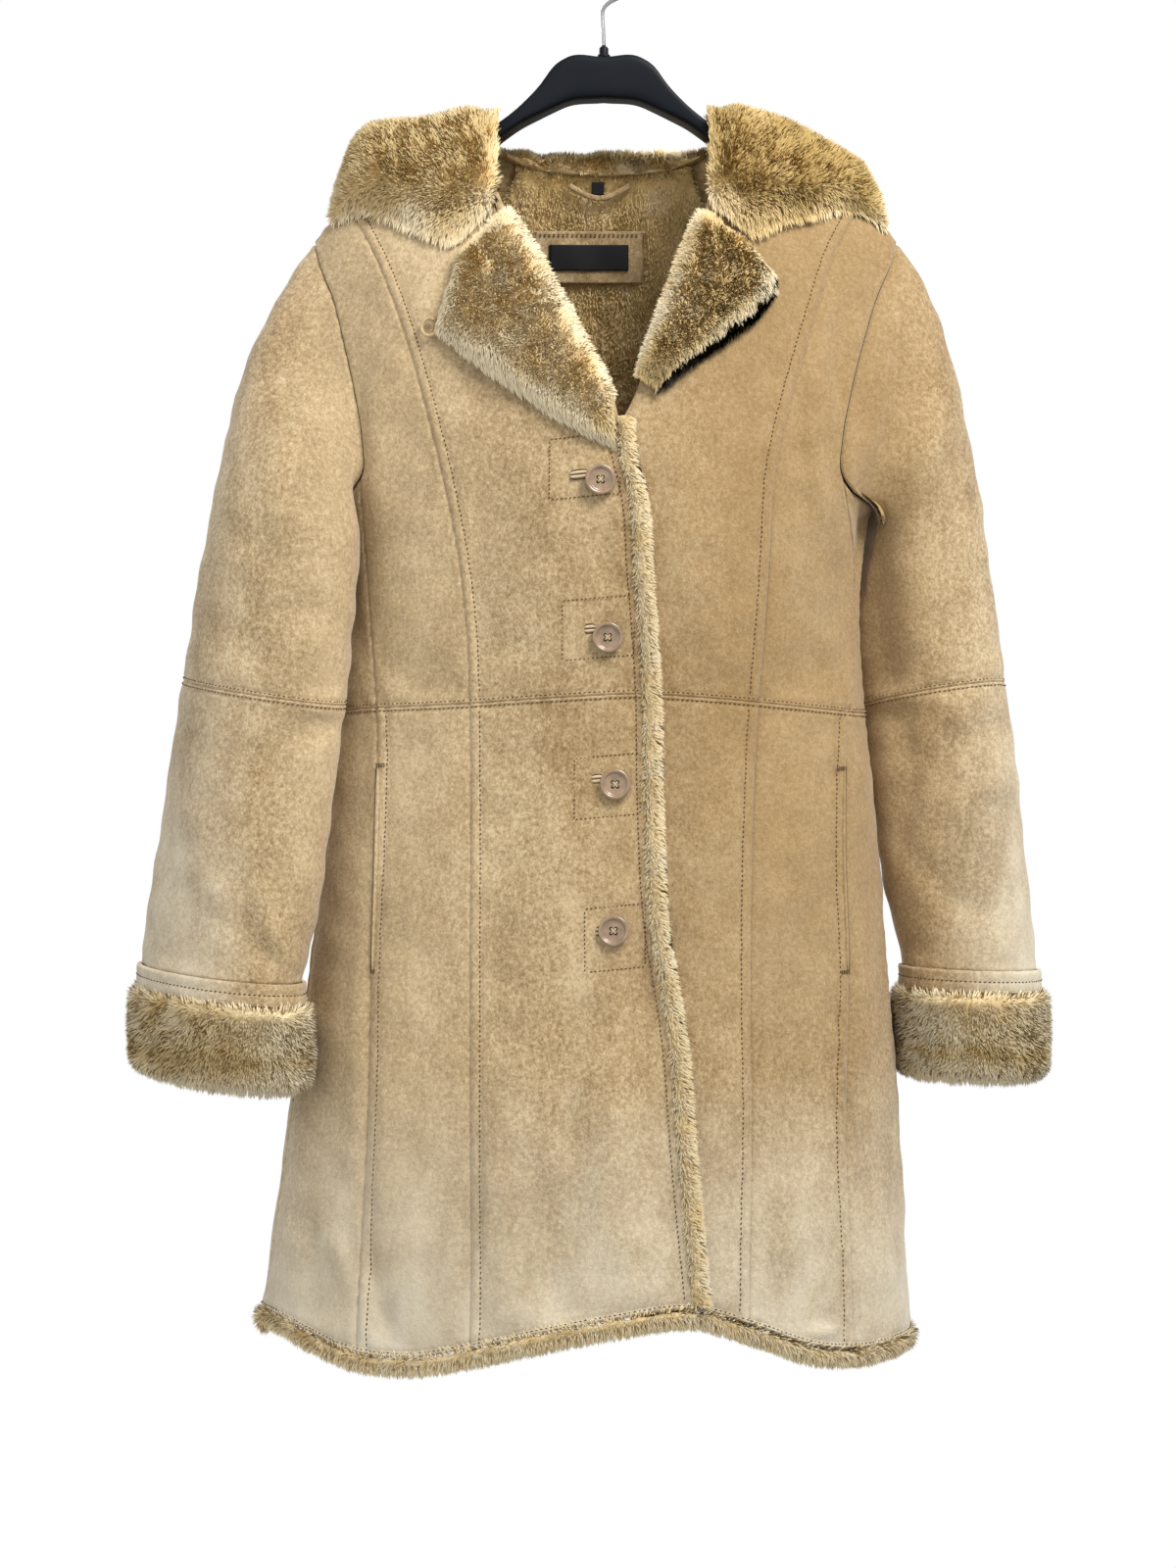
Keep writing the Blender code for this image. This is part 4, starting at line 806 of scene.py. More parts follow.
def sew_beside(grid, distance, border, first=0.0, last=0.0):
    """Stitches beside a grid's start, end, top or low border."""
    source = np.swapaxes(grid, 0, 1) if border in ("top", "low") else grid
    found = column_line(source, distance, border in ("end", "low"), first, last)
    if found is not None:
        line, away = found
        outward = line * (1.0, 1.0, 0.0)
        x = line[:, 0].mean()
        if abs(x) >= 0.215:    # so far out that away from the coat's middle isn't outward
            outward = outward - (np.clip(x, -0.26, 0.26), 0.0, 0.0)
        sew(line, away * np.sign((away * outward).sum()))


# ---------------------------------------------------------------- suede panels


def finish_panel(name, turn_z, lifted, edges, sewn):
    """Builds a panel. edges: kind and topstitch distance of its start, end, top and low borders; sewn: border,
    distance (mm), and the lengths left out at both ends, of each line of stitches."""
    turn = turn_z[..., 0]
    z = bowed(turn, turn_z[..., 1])
    form = on_body(turn, z, 0.0, lifted)
    distances, along = borders(form)
    outer = on_body(turn, z, relief(form, distances, edges, along), lifted)
    turned_grid = np.swapaxes(outer, 0, 1)
    for rows in (turned_grid, turned_grid[::-1], outer, outer[::-1]):
        gap = rows[1] - rows[0]
        far = np.linalg.norm(gap, axis=-1, keepdims=True)
        rows[0] += gap / np.maximum(far, 1e-6) * np.minimum(VISIBLE_GAP, far * 0.4)
    suede_piece(name, outer, outer - body_normal(turn, z) * WALL * 0.9)
    for border, at, first, last in sewn:
        sew_beside(outer, at / 1000, border, first, last)


def fine_patch(start_line, end_line, rows, width, top=None, hem_shares=None):
    """A fine grid of turns and heights between two lines at fractional rows. top gives the first row's points;
    with hem_shares the last row is brought to the hem, and the others by those shares."""
    start, end = start_line(rows), end_line(rows)
    share = places(width, PANEL_STEP)[None, :, None]
    grid = start[:, None] * (1 - share) + end[:, None] * share
    if top is not None:
        grid = grid + (np.clip(1 - rows / 5.0, 0, 1) ** 2)[:, None, None] * (top(share[0, :, 0]) - grid[0])
    if hem_shares is not None:
        grid = grid + (hem_shares ** 2)[:, None, None] * (on_hem(grid[-1]) - grid[-1])
    return grid


def even_places(start_line, end_line, last, step):
    """Fractional rows from 0 to last, evenly far apart on the body and closer near both ends."""
    probe = np.linspace(0, last, 260)
    total = sum(lengths(body(*line(probe).T)[:, None], 0)[:, 0] for line in (start_line, end_line)) / 2
    return np.interp(places(total[-1], step) * total[-1], total, probe)


def fine_front(side_name, side):
    princess, side_front, edge = (1, 2, 1) if side < 0 else (3, 4, 2)
    lifted = side < 0
    joint = ARMHOLE_STOPS.index(SIDE_FRONT_ANGLE)
    corner = armhole(SIDE_FRONT_ANGLE, side, False)
    below = rows_to_waist(corner[1])
    princess_levels = np.append(PRINCESS_TOP_LEVELS, below)
    edge_levels = np.append(FRONT_EDGE_TOP_LEVELS, below)
    low_levels = np.append(corner[1], below)
    side_levels = np.append(side_top_z(), rows_to_waist(side_top_z()))
    seam_turn = front_seam(FRONT_SEAMS, side_front, [corner[1]])[0, 0]

    def princess_line(place):
        return from_shoulder(front_seam(FRONT_SEAMS, princess, at_places(princess_levels, place)), place, side)

    def edge_line(place):
        return from_shoulder(front_seam(FRONT_EDGES, edge, at_places(edge_levels, place)), place, side)

    def low_line(place):
        line = front_seam(FRONT_SEAMS, side_front, at_places(low_levels, place))
        line[:, 0] += (1 - place / ROWS_BELOW_ARMHOLE) ** 2 * (corner[0] - seam_turn)
        return line

    def outer_line(place):
        upper = armhole_line(side, False, at_places(ARMHOLE_STOPS[: joint + 1], np.minimum(place, joint)))
        return np.where((place < joint)[:, None], upper, low_line(np.maximum(place - joint, 0)))

    def side_line(place):
        return side_seam(side, at_places(side_levels, place))

    def under_arm(shares):
        stops = np.array(ARMHOLE_STOPS[joint:], float)
        return armhole_line(side, False, at_places(stops, shares * (len(stops) - 1)))

    last = len(princess_levels) - 1
    edge_kind = ("free", EDGE_STITCH) if lifted else FREE
    sewn = [("start", TOPSTITCH, 0.03, 0.004)] + [("end", EDGE_STITCH, 0.275, 0.0)] * lifted
    upper_panel(f"front_centre_upper_{side_name}", princess_line, edge_line, last, FRONT_STEP, 0.105,
                (STITCHED, edge_kind, SEAM), sewn, lifted)
    upper_panel(f"front_side_upper_{side_name}", outer_line, princess_line, last, FRONT_STEP, 0.070,
                (SEAM, SEAM, SEAM), joint=joint)
    upper_panel(f"side_upper_{side_name}", low_line, side_line, ROWS_BELOW_ARMHOLE, FRONT_STEP, 0.050,
                (SEAM, SEAM, SEAM), top=under_arm)
    princess_seam, side_front_seam = (front_seam, FRONT_SEAMS, princess), (front_seam, FRONT_SEAMS, side_front)
    lower_panel(f"front_centre_lower_{side_name}", (front_seam, FRONT_EDGES, edge), princess_seam, 0.12,
                (edge_kind, STITCHED),
                [("end", TOPSTITCH, 0.004, 0.004)] + [("start", EDGE_STITCH, 0.0, 0.004)] * lifted, lifted)
    lower_panel(f"front_side_lower_{side_name}", princess_seam, side_front_seam, 0.08, (SEAM, ("seam", 9.0)),
                [("end", 9.0, 0.004, 0.004)])
    lower_panel(f"side_lower_{side_name}", side_front_seam, (side_seam, side), 0.06, (SEAM, SEAM))


def from_shoulder(line, place, side):
    """A line of turns and heights, with its first point on the shoulder's ridge."""
    if place[0] == 0:
        line[0, 0] = side * 90.0
    return line


def upper_panel(name, start_line, end_line, last, step, width, edges, sewn=(), lifted=False, joint=None, top=None):
    """A panel down to the waist. joint is a row that has to be kept, where one of its lines turns a corner."""
    rows = even_places(start_line, end_line, last, step)
    if joint is not None:
        rows[np.argmin(np.abs(rows - joint))] = joint
    grid = fine_patch(start_line, end_line, rows, width, top)
    finish_panel(name, grid, lifted, (*edges, WAIST), [*sewn, ("low", WAIST_STITCH, 0.0, 0.0)])


def lower_panel(name, start, end, width, edges, sewn=(), lifted=False):
    """A panel from the waist to the hem, between two seams, each given as its function and what that reads."""

    def line(seam, *where):
        low = -0.985
        for _ in range(4):
            low = float(hem_z(seam(*where, [low])[0, 0]))
        return lambda share: seam(*where, WAIST_Z + (low - WAIST_Z) * share)

    shares = places(0.44, FRONT_STEP)
    fade = np.interp(shares, LOWER_ROWS, np.arange(6)) / 5
    grid = fine_patch(line(*start), line(*end), shares, width, hem_shares=fade)
    sewn = [*sewn, ("top", WAIST_STITCH, 0.0, 0.0), ("low", HEM_STITCH, 0.0, 0.0)]
    finish_panel(name, grid, lifted, (*edges, WAIST, ("free", HEM_STITCH)), sewn)


def fine_back(side_name, side):
    levels = rows_to_waist(side_top_z())
    princess_levels = np.append(BACK_PRINCESS_TOP_LEVELS, levels)
    low_levels = np.append(side_top_z(), levels)
    last = len(princess_levels) - 1
    joint = len(ARMHOLE_STOPS) - 1

    def princess_line(place):
        return from_shoulder(back_seam(side, at_places(princess_levels, place)), place, side)

    def outer_line(place):
        upper = armhole_line(side, True, at_places(ARMHOLE_STOPS, np.minimum(place, joint)))
        lower = side_seam(side, at_places(low_levels, np.clip(place - joint, 0, ROWS_BELOW_ARMHOLE)))
        return np.where((place < joint)[:, None], upper, lower)

    neck_turns = np.array([90.0, 108.0, 126.0, 141.0, 156.0, 168.0, 180.0])
    neck = np.stack([side * neck_turns, read(BACK_NECK, 1, neck_turns)], -1)
    top_points = np.concatenate([princess_line(np.array([0.0])), neck])

    def top(shares):
        return read_line(shares * (len(top_points) - 1), np.arange(len(top_points)), top_points)

    def middle_line(place):
        return centre_back(side, neck[-1, 1] + (WAIST_Z - neck[-1, 1]) * (place / last) ** 1.35)

    upper_panel(f"back_side_upper_{side_name}", outer_line, princess_line, last, BACK_STEP, 0.09,
                (SEAM, SEAM, SEAM), joint=joint)
    upper_panel(f"back_centre_upper_{side_name}", princess_line, middle_line, last, BACK_STEP, 0.12,
                (STITCHED, SEAM, FREE), [("start", TOPSTITCH, 0.04, 0.004)], top=top)
    lower_panel(f"back_side_lower_{side_name}", (side_seam, side), (back_seam, side), 0.11, (SEAM, SEAM))
    lower_panel(f"back_centre_lower_{side_name}", (back_seam, side), (centre_back, side), 0.10, (STITCHED, SEAM),
                [("start", TOPSTITCH, 0.004, 0.004)])


# ---------------------------------------------------------------- sleeves and bands


def fine_angles(step):
    return np.linspace(0.0, 360.0, int(0.36 / (step / FINE) / 2) * 2, endpoint=False)


def finish_tube(name, rings, edges, sewn, folds=1.0):
    """Builds a sleeve or band. edges: kind and topstitch distance at its top and low end; sewn: the end that has
    a line of stitches, and its distance (mm)."""
    form = np.array(rings)
    normals = tube_normals(form)
    down = lengths(form, 0) * 1000
    run = lengths(closed_ring(form), 1)[:, :-1] * 1000
    outer = form + normals * (relief(form, (down, down[-1:] - down), edges, (run, run)) * folds)[..., None]
    for end, inward in ((0, 1), (-1, -2)):
        outer[end] += unit(outer[inward] - outer[end]) * VISIBLE_GAP
    suede_piece(name, outer, outer - normals * WALL * 0.9, True)
    border, at = sewn
    line, away = column_line(np.swapaxes(closed_ring(outer)[:: 1 if border == "top" else -1], 0, 1), at / 1000)
    sew(line, away * np.sign((away * (line - line.mean(axis=0))).sum()))


def fine_sleeve(side_name):
    side = SIDES[side_name]
    angles = fine_angles(0.0046)
    start = body(*armhole(np.minimum(angles, 360.0 - angles), side, angles > 180.0))
    end = sleeve_ring(side_name, SLEEVE_TOP_Z, angles)
    top = (1 + np.cos(np.radians(angles)))[:, None] / 2
    leave = unit(np.array([side * 0.85, 0.0, -0.30]) * (1 - top) + np.array([side * 0.62, 0.0, -0.78]) * top)
    up = unit(np.array([-side * 0.12, 0.0, 1.0]))
    reach, lift = 0.012 + 0.045 * top, 0.010 + 0.085 * top
    rings = []
    for s in places(0.13, 0.0055)[:-3]:
        ring = ((1 - s) ** 3 * start + 3 * (1 - s) ** 2 * s * (start + leave * reach)
                + 3 * (1 - s) * s * s * (end + up * lift) + s ** 3 * end)
        rings.append(clear_of_body(ring, SLEEVE_CLEARANCE * min(1.0, s / 0.14)))
    count = int(20 * FINE)
    near_elbow = 1 - np.array([6.0, 4.6, 3.4, 2.4, 1.6, 0.9, 0.4, 0]) / 110
    levels = SLEEVE_TOP_Z + (ELBOW_Z - SLEEVE_TOP_Z) * np.concatenate([np.arange(count) / count, near_elbow])
    levels = levels[np.diff(levels, prepend=1.0) < -0.0003]
    rings += [sleeve_ring(side_name, z, angles) for z in levels]
    finish_tube(f"sleeve_upper_{side_name}", rings, (SEAM, WAIST), ("low", WAIST_STITCH))
    share = places(0.2, PANEL_STEP)
    tilt = CUFF_TILT[side_name]
    tilts = SLEEVE_TILT[side_name] + (tilt - SLEEVE_TILT[side_name]) * share
    rings = [sleeve_ring(side_name, ELBOW_Z + (SLEEVE_END_Z - ELBOW_Z) * s, angles, tilt=t)
             for s, t in zip(share, tilts)]
    finish_tube(f"sleeve_lower_{side_name}", rings, (WAIST, FREE), ("top", WAIST_STITCH))
    share = np.array([0, 0.02, 0.06, 0.14, 0.28, 0.42, 0.5, 0.55, 0.6, 0.7, 0.85, 0.95, 1.0])
    swell = BAND_PROUD * (1 - 0.45 * np.exp(-(share / 0.05) ** 2))
    rings = [sleeve_ring(side_name, SLEEVE_END_Z + 0.001 - (BAND_HEIGHT + 0.001) * s, angles, w, tilt)
             for s, w in zip(share, swell)]
    finish_tube(f"cuff_band_{side_name}", rings, (FREE, ("free", TOPSTITCH)), ("low", TOPSTITCH),
                folds=0.35)


# ---------------------------------------------------------------- fur

rng = np.random.default_rng(11)

STRANDS = {"wing": 29000, "lapel": 18000, "cuff": 24000, "cuff_inside": 2500, "roll": 15000, "back_lining": 22000,
           "hood_outer": 7000, "hood_back": 4000, "edge": 14000, "hem_front_left": 8000, "hem_front_right": 7000,
           "hem_back": 12000}
STRAND_WIDTH = 0.00084 / 1.0
WILD = 0.16               # how far the strands lean in patches
TUFT_SIZE, TUFT_PULL = 0.0045, 0.18
EDGE_FUR_HALF_WIDTH = 0.0050
# Tone goes from 0, dark, to 1, cream; the height along a strand from 0, its root, to 1, its tip.
# The right wing's tone is set far below the left's as painted shade: it darkens the wing that the key lamp lights, so
# that both wings look alike.
WING_TONE_AND_SHADE = {"left": 0.42, "right": 0.06}
LAPEL_TONE = {"left": 0.66, "right": 0.46}
CUFF_TONE = {"left": 0.70, "right": 0.76}
EDGE_TONE = 0.74
SKIN_HEIGHT, UNDER_TONE = 0.46, 0.3


def tufts(points, size):
    """The middle of the tuft that each point belongs to."""
    warped = points + swirl(points, size * 3, 70) * size * 0.4
    cell = np.floor(warped / size)
    key = cell @ np.array([127.1, 311.7, 74.7])
    shift = np.stack([np.sin(key * k) * 43758.5453 % 1.0 for k in (1.0, 1.7, 2.3)], -1)
    return points + (cell + 0.2 + 0.6 * shift) * size - warped


def strands(base, normals, flow, count, length, tone, lit=None):
    """Fur strands on a grid, as kites of root, two middles and tip. flow leans them; its length is how far.
    lit gives the directions that the strands are shaded as facing, where those aren't the normals."""
    a, b = base[1:, 1:] - base[:-1, :-1], base[1:, :-1] - base[:-1, 1:]
    area = np.linalg.norm(np.cross(a, b), axis=-1).ravel()
    count = int(count * PILE_SHARE)
    cell = rng.choice(len(area), count, p=area / area.sum())
    r, c = cell // (base.shape[1] - 1), cell % (base.shape[1] - 1)
    u, v = rng.random((2, count, 1))

    def at(grid):
        grid = grid if grid.ndim == 3 else grid[..., None]
        return (grid[r, c] * (1 - u) * (1 - v) + grid[r, c + 1] * u * (1 - v)
                + grid[r + 1, c] * (1 - u) * v + grid[r + 1, c + 1] * u * v)

    root, away, lean, high, shade = at(base), unit(at(normals)), at(flow), at(length), at(tone)[:, 0]
    lean = lean + WILD * swirl(root, 0.019, 30) + WILD * 0.8 * swirl(root, 0.0065, 40)
    lean = lean + 0.11 * rng.normal(size=root.shape)
    lean = lean - away * (lean * away).sum(-1, keepdims=True) * 0.8
    way = unit(away + lean)
    high = high * rng.uniform(0.80, 1.12, (count, 1))
    centre = tufts(root, TUFT_SIZE) - root
    pull = (centre - away * (centre * away).sum(-1, keepdims=True)) * TUFT_PULL
    tip = root + way * high + pull
    middle = root + (way * 0.5 + away * 0.10) * high + pull * 0.35
    facing = unit((away if lit is None else unit(at(lit))) + 0.30 * way)
    side = unit(np.cross(way, facing + 0.25 * rng.normal(size=root.shape))) * STRAND_WIDTH / 2
    face = np.cross(middle + side - root, tip - root)
    side = side * np.where((face * facing).sum(-1, keepdims=True) < 0, -1.0, 1.0)
    vertices = np.stack([root, middle + side, tip, middle - side], 1).reshape(-1, 3)
    shade = np.clip(shade + 0.05 * rng.normal(size=count), 0, 0.9)
    tones = np.stack([np.repeat(shade, 4), np.tile([0.04, 0.5, 0.98, 0.5], count)], -1)
    return vertices, np.arange(count * 4).reshape(-1, 4), tones, np.repeat(facing, 4, 0)


def fur_piece(name, outer, under, lots, tone, ring=False, size_grid=None, is_sheet=True):
    """A fur piece: its cloth, with the pile's roots as its face, and the strands standing on it.
    lots: grid, normals, flow, count, length, tone and lit of each lot of strands."""
    bumps = 0.0008 * waves(outer, 0.012, 5) + 0.0005 * waves(outer, 0.005, 6)
    skin = outer + face_out(outer, under, ring) * bumps[..., None]
    vertices, faces, _ = shell_mesh(skin, under, ring)
    tones = np.stack([np.append(tone.ravel(), np.full(tone.size, UNDER_TONE)),
                      np.repeat([SKIN_HEIGHT, UNDER_TONE], tone.size)], -1)
    cloth = add_mesh(name + "_cloth", vertices, faces, [FUR], None, tones, None, [name])
    hairs = [strands(*lot) for lot in lots]
    vertices, faces = join([hair[:2] for hair in hairs])
    tones, facing = (np.concatenate([hair[k] for hair in hairs]) for k in (2, 3))
    pile = add_mesh(name + "_pile", vertices, faces, [FUR], None, tones, facing, ())
    if is_sheet:
        grid = skin if size_grid is None else size_grid
        declare(closed_ring(grid) if ring else grid)


def face_out(outer, inner, ring=False):
    """Normals of a grid, away from its inner side."""
    normals = grid_normals(outer, ring)
    return normals * np.where(((outer - inner) * normals).sum(-1).mean() < 0, -1.0, 1.0)


def rounded(normals, outer, borders_turned, strength=1.0):
    """Normals turned outwards near a grid's borders, so that its edges are furred too."""
    across, down = lengths(outer, 1), lengths(outer, 0)
    turned_out = normals.copy()
    todo = {"start": (across, 1, -1), "end": (across[:, -1:] - across, 1, 1), "top": (down, 0, -1),
            "low": (down[-1:] - down, 0, 1)}
    for border in borders_turned:
        distance, axis, sign = todo[border]
        way = unit(np.gradient(outer, axis=axis) + 1e-12) * sign
        turned_out = turned_out + way * (strength * 1.6 * bell(distance, 0.006))[..., None]
    return unit(turned_out)


def spread_flow(like, vector):
    return np.broadcast_to(np.asarray(vector, float), like.shape)


def mottle(grid, seed, *spots):
    """Uneven tone, from waves of each height and wavelength."""
    return sum(high * waves(grid, wavelength, seed + k) for k, (high, wavelength) in enumerate(spots))


def fine_wing(side_name, side):
    rows = WINGS[side_name]
    shares, across = np.linspace(0, 1, 40), np.linspace(-1.0, 1.0, 60)
    outer, under = [], []
    for share in shares:
        full = np.interp(share, [0.0, 0.05, 0.16, 0.84, 0.96, 1.0], [0.35, 0.76, 1, 1, 0.76, 0.35])
        x = rows[0][0] + (rows[-1][0] - rows[0][0]) * share
        top, front_low, back_low = (float(read(rows, k, x)) for k in (1, 2, 3))
        ridge = float(ridge_z(x))
        z = ridge - across ** 2 * (ridge - np.where(across < 0, front_low, back_low))
        middle, half, front, back = body_oval(z)
        bulge = np.sqrt(np.clip(1 - ((side * x - middle) / half) ** 2, 0, 1))
        foot = np.stack([np.full(z.shape, side * x), np.where(across < 0, -front, back) * bulge, z], -1)
        lean = np.radians(WING_LEAN) * across
        away = np.stack([np.zeros(z.shape), np.sin(lean), np.cos(lean)], -1)
        edge = 0.55 + 0.45 * ease(1 - np.abs(across), 0.0, 0.25)
        rise = (top - ridge) * full
        thick = rise + (WING_EDGE_THICK - rise) * np.abs(across) ** 1.5
        thick = np.maximum(thick * edge * (1 if full == 1 else 0.5 + full / 2), 0.005)
        under.append(foot + away * LAY_GAP * 1.5)
        outer.append(foot + away * thick[:, None])
    outer, under = np.array(outer), np.array(under)
    thick = np.linalg.norm(outer - under, axis=-1, keepdims=True)
    base = under + (outer - under) * np.clip(1 - 0.0048 / thick, 0.35, 1)
    facing = face_out(base, under)
    normals = rounded(facing, base, ("start", "end", "top", "low"))
    front_edge = bell(1 + across, 0.13)[None, :]
    flow = unit(base - np.array([side * 0.05, -0.02, -0.12])) * (1, 0.4, 0) * 0.35
    flow = flow + front_edge[..., None] * np.array([side * 0.15, -0.25, -1.5])
    share = shares[:, None]
    rim = bell(1 - share, 0.06) + bell(share, 0.05) * 0.6
    crest = bell(across[None, :] + 0.10, 0.12) * 0.35
    tone = WING_TONE_AND_SHADE[side_name] + mottle(base, 51, (0.12, 0.034), (0.05, 0.012))
    tone = tone + rim * 0.40 + crest * 0.5 + front_edge * 0.42
    length = np.broadcast_to(0.0068 + 0.0034 * front_edge, tone.shape)
    lot = (base, normals, flow, STRANDS["wing"], length, tone, unit(facing + (0, -0.5, 0.5)))
    fur_piece(f"hood_wing_{side_name}", base, under, [lot], tone)


def fine_lapel(side_name, side):
    rows = np.array(LAPELS[side_name])
    columns = np.concatenate([[-0.02], np.linspace(0.0, 1.0, 30)])
    count = 70
    line = read_line(np.linspace(0, len(rows) - 1, count), np.arange(len(rows)), rows)
    share = columns[None, :, None]
    grid = line[:, None, :2] * (1 - share) + line[:, None, 2:] * share
    x, z = grid[..., 0].copy(), grid[..., 1]
    x[:, 0] -= side * LAPEL_ROLL_OUT * 0.5
    turn = front_turn(x, z)
    full = np.interp(columns, [-0.02, 0.10, 0.35, 0.65, 0.90, 1.0], [0.45, 0.90, 1.0, 1.0, 0.85, 0.45])
    row = np.arange(count)[:, None]
    ends = 0.55 + 0.45 * ease(np.minimum(row, count - 1 - row) / (count - 1), 0.0, 0.12)
    under = on_body(turn, z, np.full(x.shape, LAPEL_GAP), side < 0)
    base = on_body(turn, z, LAPEL_GAP + LAPEL_THICK * full[None, :] * ends * 0.56, side < 0)
    c = columns[None, :]
    rim = bell(1 - c, 0.16) * ease(row, 0, 6)
    lower = ease(row / count, 0.42, 0.52)
    droop = (rim * (0.5 + 0.9 * lower))[..., None] * np.array([-side * 0.25, -0.1, -1.2])
    flow = spread_flow(base, (side * -0.05, 0.0, -0.35)) + droop
    tone = LAPEL_TONE[side_name] + mottle(base, 61, (0.13, 0.028), (0.06, 0.010)) + rim * 0.50 + bell(c, 0.10) * 0.26
    facing = face_out(base, under)
    normals = rounded(facing, base, ("start", "end", "top", "low"))
    length = 0.0058 + 0.0048 * rim * (0.25 + 0.75 * lower)
    lot = (base, normals, flow, STRANDS["lapel"], length, tone, facing)
    fur_piece(f"lapel_{side_name}", base, under, [lot], tone)


def fine_cuff(side_name, side):
    angles = fine_angles(0.005)
    tilt, height = CUFF_TILT[side_name], CUFF_HEIGHT[side_name]
    band_low = SLEEVE_END_Z - BAND_HEIGHT
    base, under = [], []
    downs = np.linspace(0, 1, 30)
    for down in downs:
        z = band_low - SEAM_GAP * 2 - height * down
        share = np.interp(down, [0, 0.08, 0.5, 0.92, 1.0], [0.55, 0.93, 1.0, 0.93, 0.55])
        base.append(sleeve_ring(side_name, z, angles, CUFF_PROUD - CUFF_THICK * (1 - share) - 0.0042, tilt))
        thick = CUFF_THICK * (0.45 + 0.55 * float(ease(min(down, 1 - down), 0.0, 0.2)))
        under.append(sleeve_ring(side_name, z, angles, CUFF_PROUD - thick, tilt))
    base, under = np.array(base), np.array(under)
    closed = closed_ring(base)
    facing = closed_ring(tube_normals(base))
    down = downs[:, None]
    x = side * (closed[..., 0] - base.mean(axis=1, keepdims=True)[..., 0])
    streak = bell(down - 0.66 - 0.04 * waves(closed, 0.05, 9), 0.10)
    tone = (CUFF_TONE[side_name] + mottle(closed, 81, (0.10, 0.024), (0.06, 0.009)) - streak * 0.38
            + 0.28 * ease(-x, 0.015, 0.050) + 0.14 * ease(x, 0.03, 0.06)
            + 0.25 * bell(1 - down, 0.10) + 0.20 * bell(down, 0.10))
    length = np.full(tone.shape, 0.0080)
    flow = spread_flow(closed, (0, 0, -0.42))
    turned_out = rounded(facing, closed, ("top", "low"), 1.2)
    lots = [(closed, turned_out, flow, STRANDS["cuff"], length, tone, facing),
            (closed_ring(under), -turned_out, flow, STRANDS["cuff_inside"], length * 0.6, tone - 0.1)]
    fur_piece(f"cuff_fur_{side_name}", base, under, lots, tone[:, :-1], ring=True,
              size_grid=base)


def fine_roll():
    turns = np.linspace(NECK_ROLL_TURN, 360.0 - NECK_ROLL_TURN, 80)
    heights = read(BACK_NECK, 1, 180.0 - np.abs(turns - 180.0))
    edge = body(turns, heights)
    flat = unit(body_normal(turns, heights) * (1.0, 1.0, 0.0))
    highest = max(rise for _, rise in NECK_ROLL_OVER)
    grids = []
    for outline in (NECK_ROLL_OVER, NECK_ROLL_UNDER):
        outs, rises = (at_places(np.array(outline)[:, k], np.linspace(0, 4, 26)) for k in (0, 1))
        sections = []
        for point, away in zip(edge, flat):
            stand = (NECK_ROLL_TOP_Z - point[2]) / highest
            z = point[2] + np.where(rises < 0, rises, rises * stand)
            _, half, _, back = body_oval(np.minimum(z, point[2]))
            y = back * np.sqrt(np.clip(1 - (point[0] / half) ** 2, 0, 1))
            sections.append(np.stack([point[0] + away[0] * outs, y + away[1] * outs, z], -1))
        grids.append(np.array(sections))
    over, under = grids
    base = under + (over - under) * 0.66
    base[..., 2] += 0.0022 * waves(base, 0.022, 90) * ease(base[..., 2], -0.165, -0.145)
    normals = rounded(face_out(base, under), base, ("start", "top", "low"), 0.7)
    tone = 0.60 + mottle(base, 91, (0.24, 0.030), (0.06, 0.010))
    lot = (base, normals, spread_flow(base, (0, -0.25, -0.10)), STRANDS["roll"], np.full(tone.shape, 0.0072), tone,
           spread_flow(base, (0.0, -0.75, 0.65)))
    fur_piece("hood_neck_roll", base, under, [lot], tone)


def fine_back_lining():
    columns = np.linspace(-1.0, 1.0, 48)[None, :]
    share = np.linspace(0, 1, 60)[:, None]
    x = columns * (0.066 + (LINING_HALF_WIDTH - 0.066) * ease(share, 0.0, 0.3))
    turn = 180.0 - np.degrees(np.arcsin(x / body_oval(-0.15)[1]))
    top = read(BACK_NECK, 1, 180.0 - np.abs(turn - 180.0)) + 0.0025
    z = top + (LINING_LOW_Z - top) * share
    under = lining_point(x, z, np.full(x.shape, WALL + LINING_GAP))
    base = lining_point(x, z, np.full(x.shape, WALL + LINING_GAP + 0.0028))
    normals = rounded(face_out(base, under), base, ("start", "end", "low"), 0.6)
    normals = rounded(normals, base, ("top",), 1.2)
    seam = bell(x, 0.004)
    flow = spread_flow(base, (0.05, 0, -0.55)) + np.stack([-np.sign(x) * seam * 0.8, 0 * x, 0 * x], -1)
    tone = 0.44 + mottle(base, 95, (0.15, 0.034), (0.07, 0.012)) - 0.08 * seam
    left, right, low, high = PATCH
    under_patch = (x > left - 0.001) & (x < right + 0.001) & (z > low) & (z < high + 0.002)
    lot = (base, normals, flow, STRANDS["back_lining"], np.where(under_patch, 0.0036, 0.0064), tone,
           spread_flow(base, (0.0, -0.95, 0.3)))
    fur_piece("back_lining", base, under, [lot], tone)


def pouch_normals(form):
    """Normals of a grid on the pouch, outwards."""
    normals = grid_normals(form)
    return normals * np.sign(((form - np.array([0.0, 0.03, -0.25])) * normals).sum())


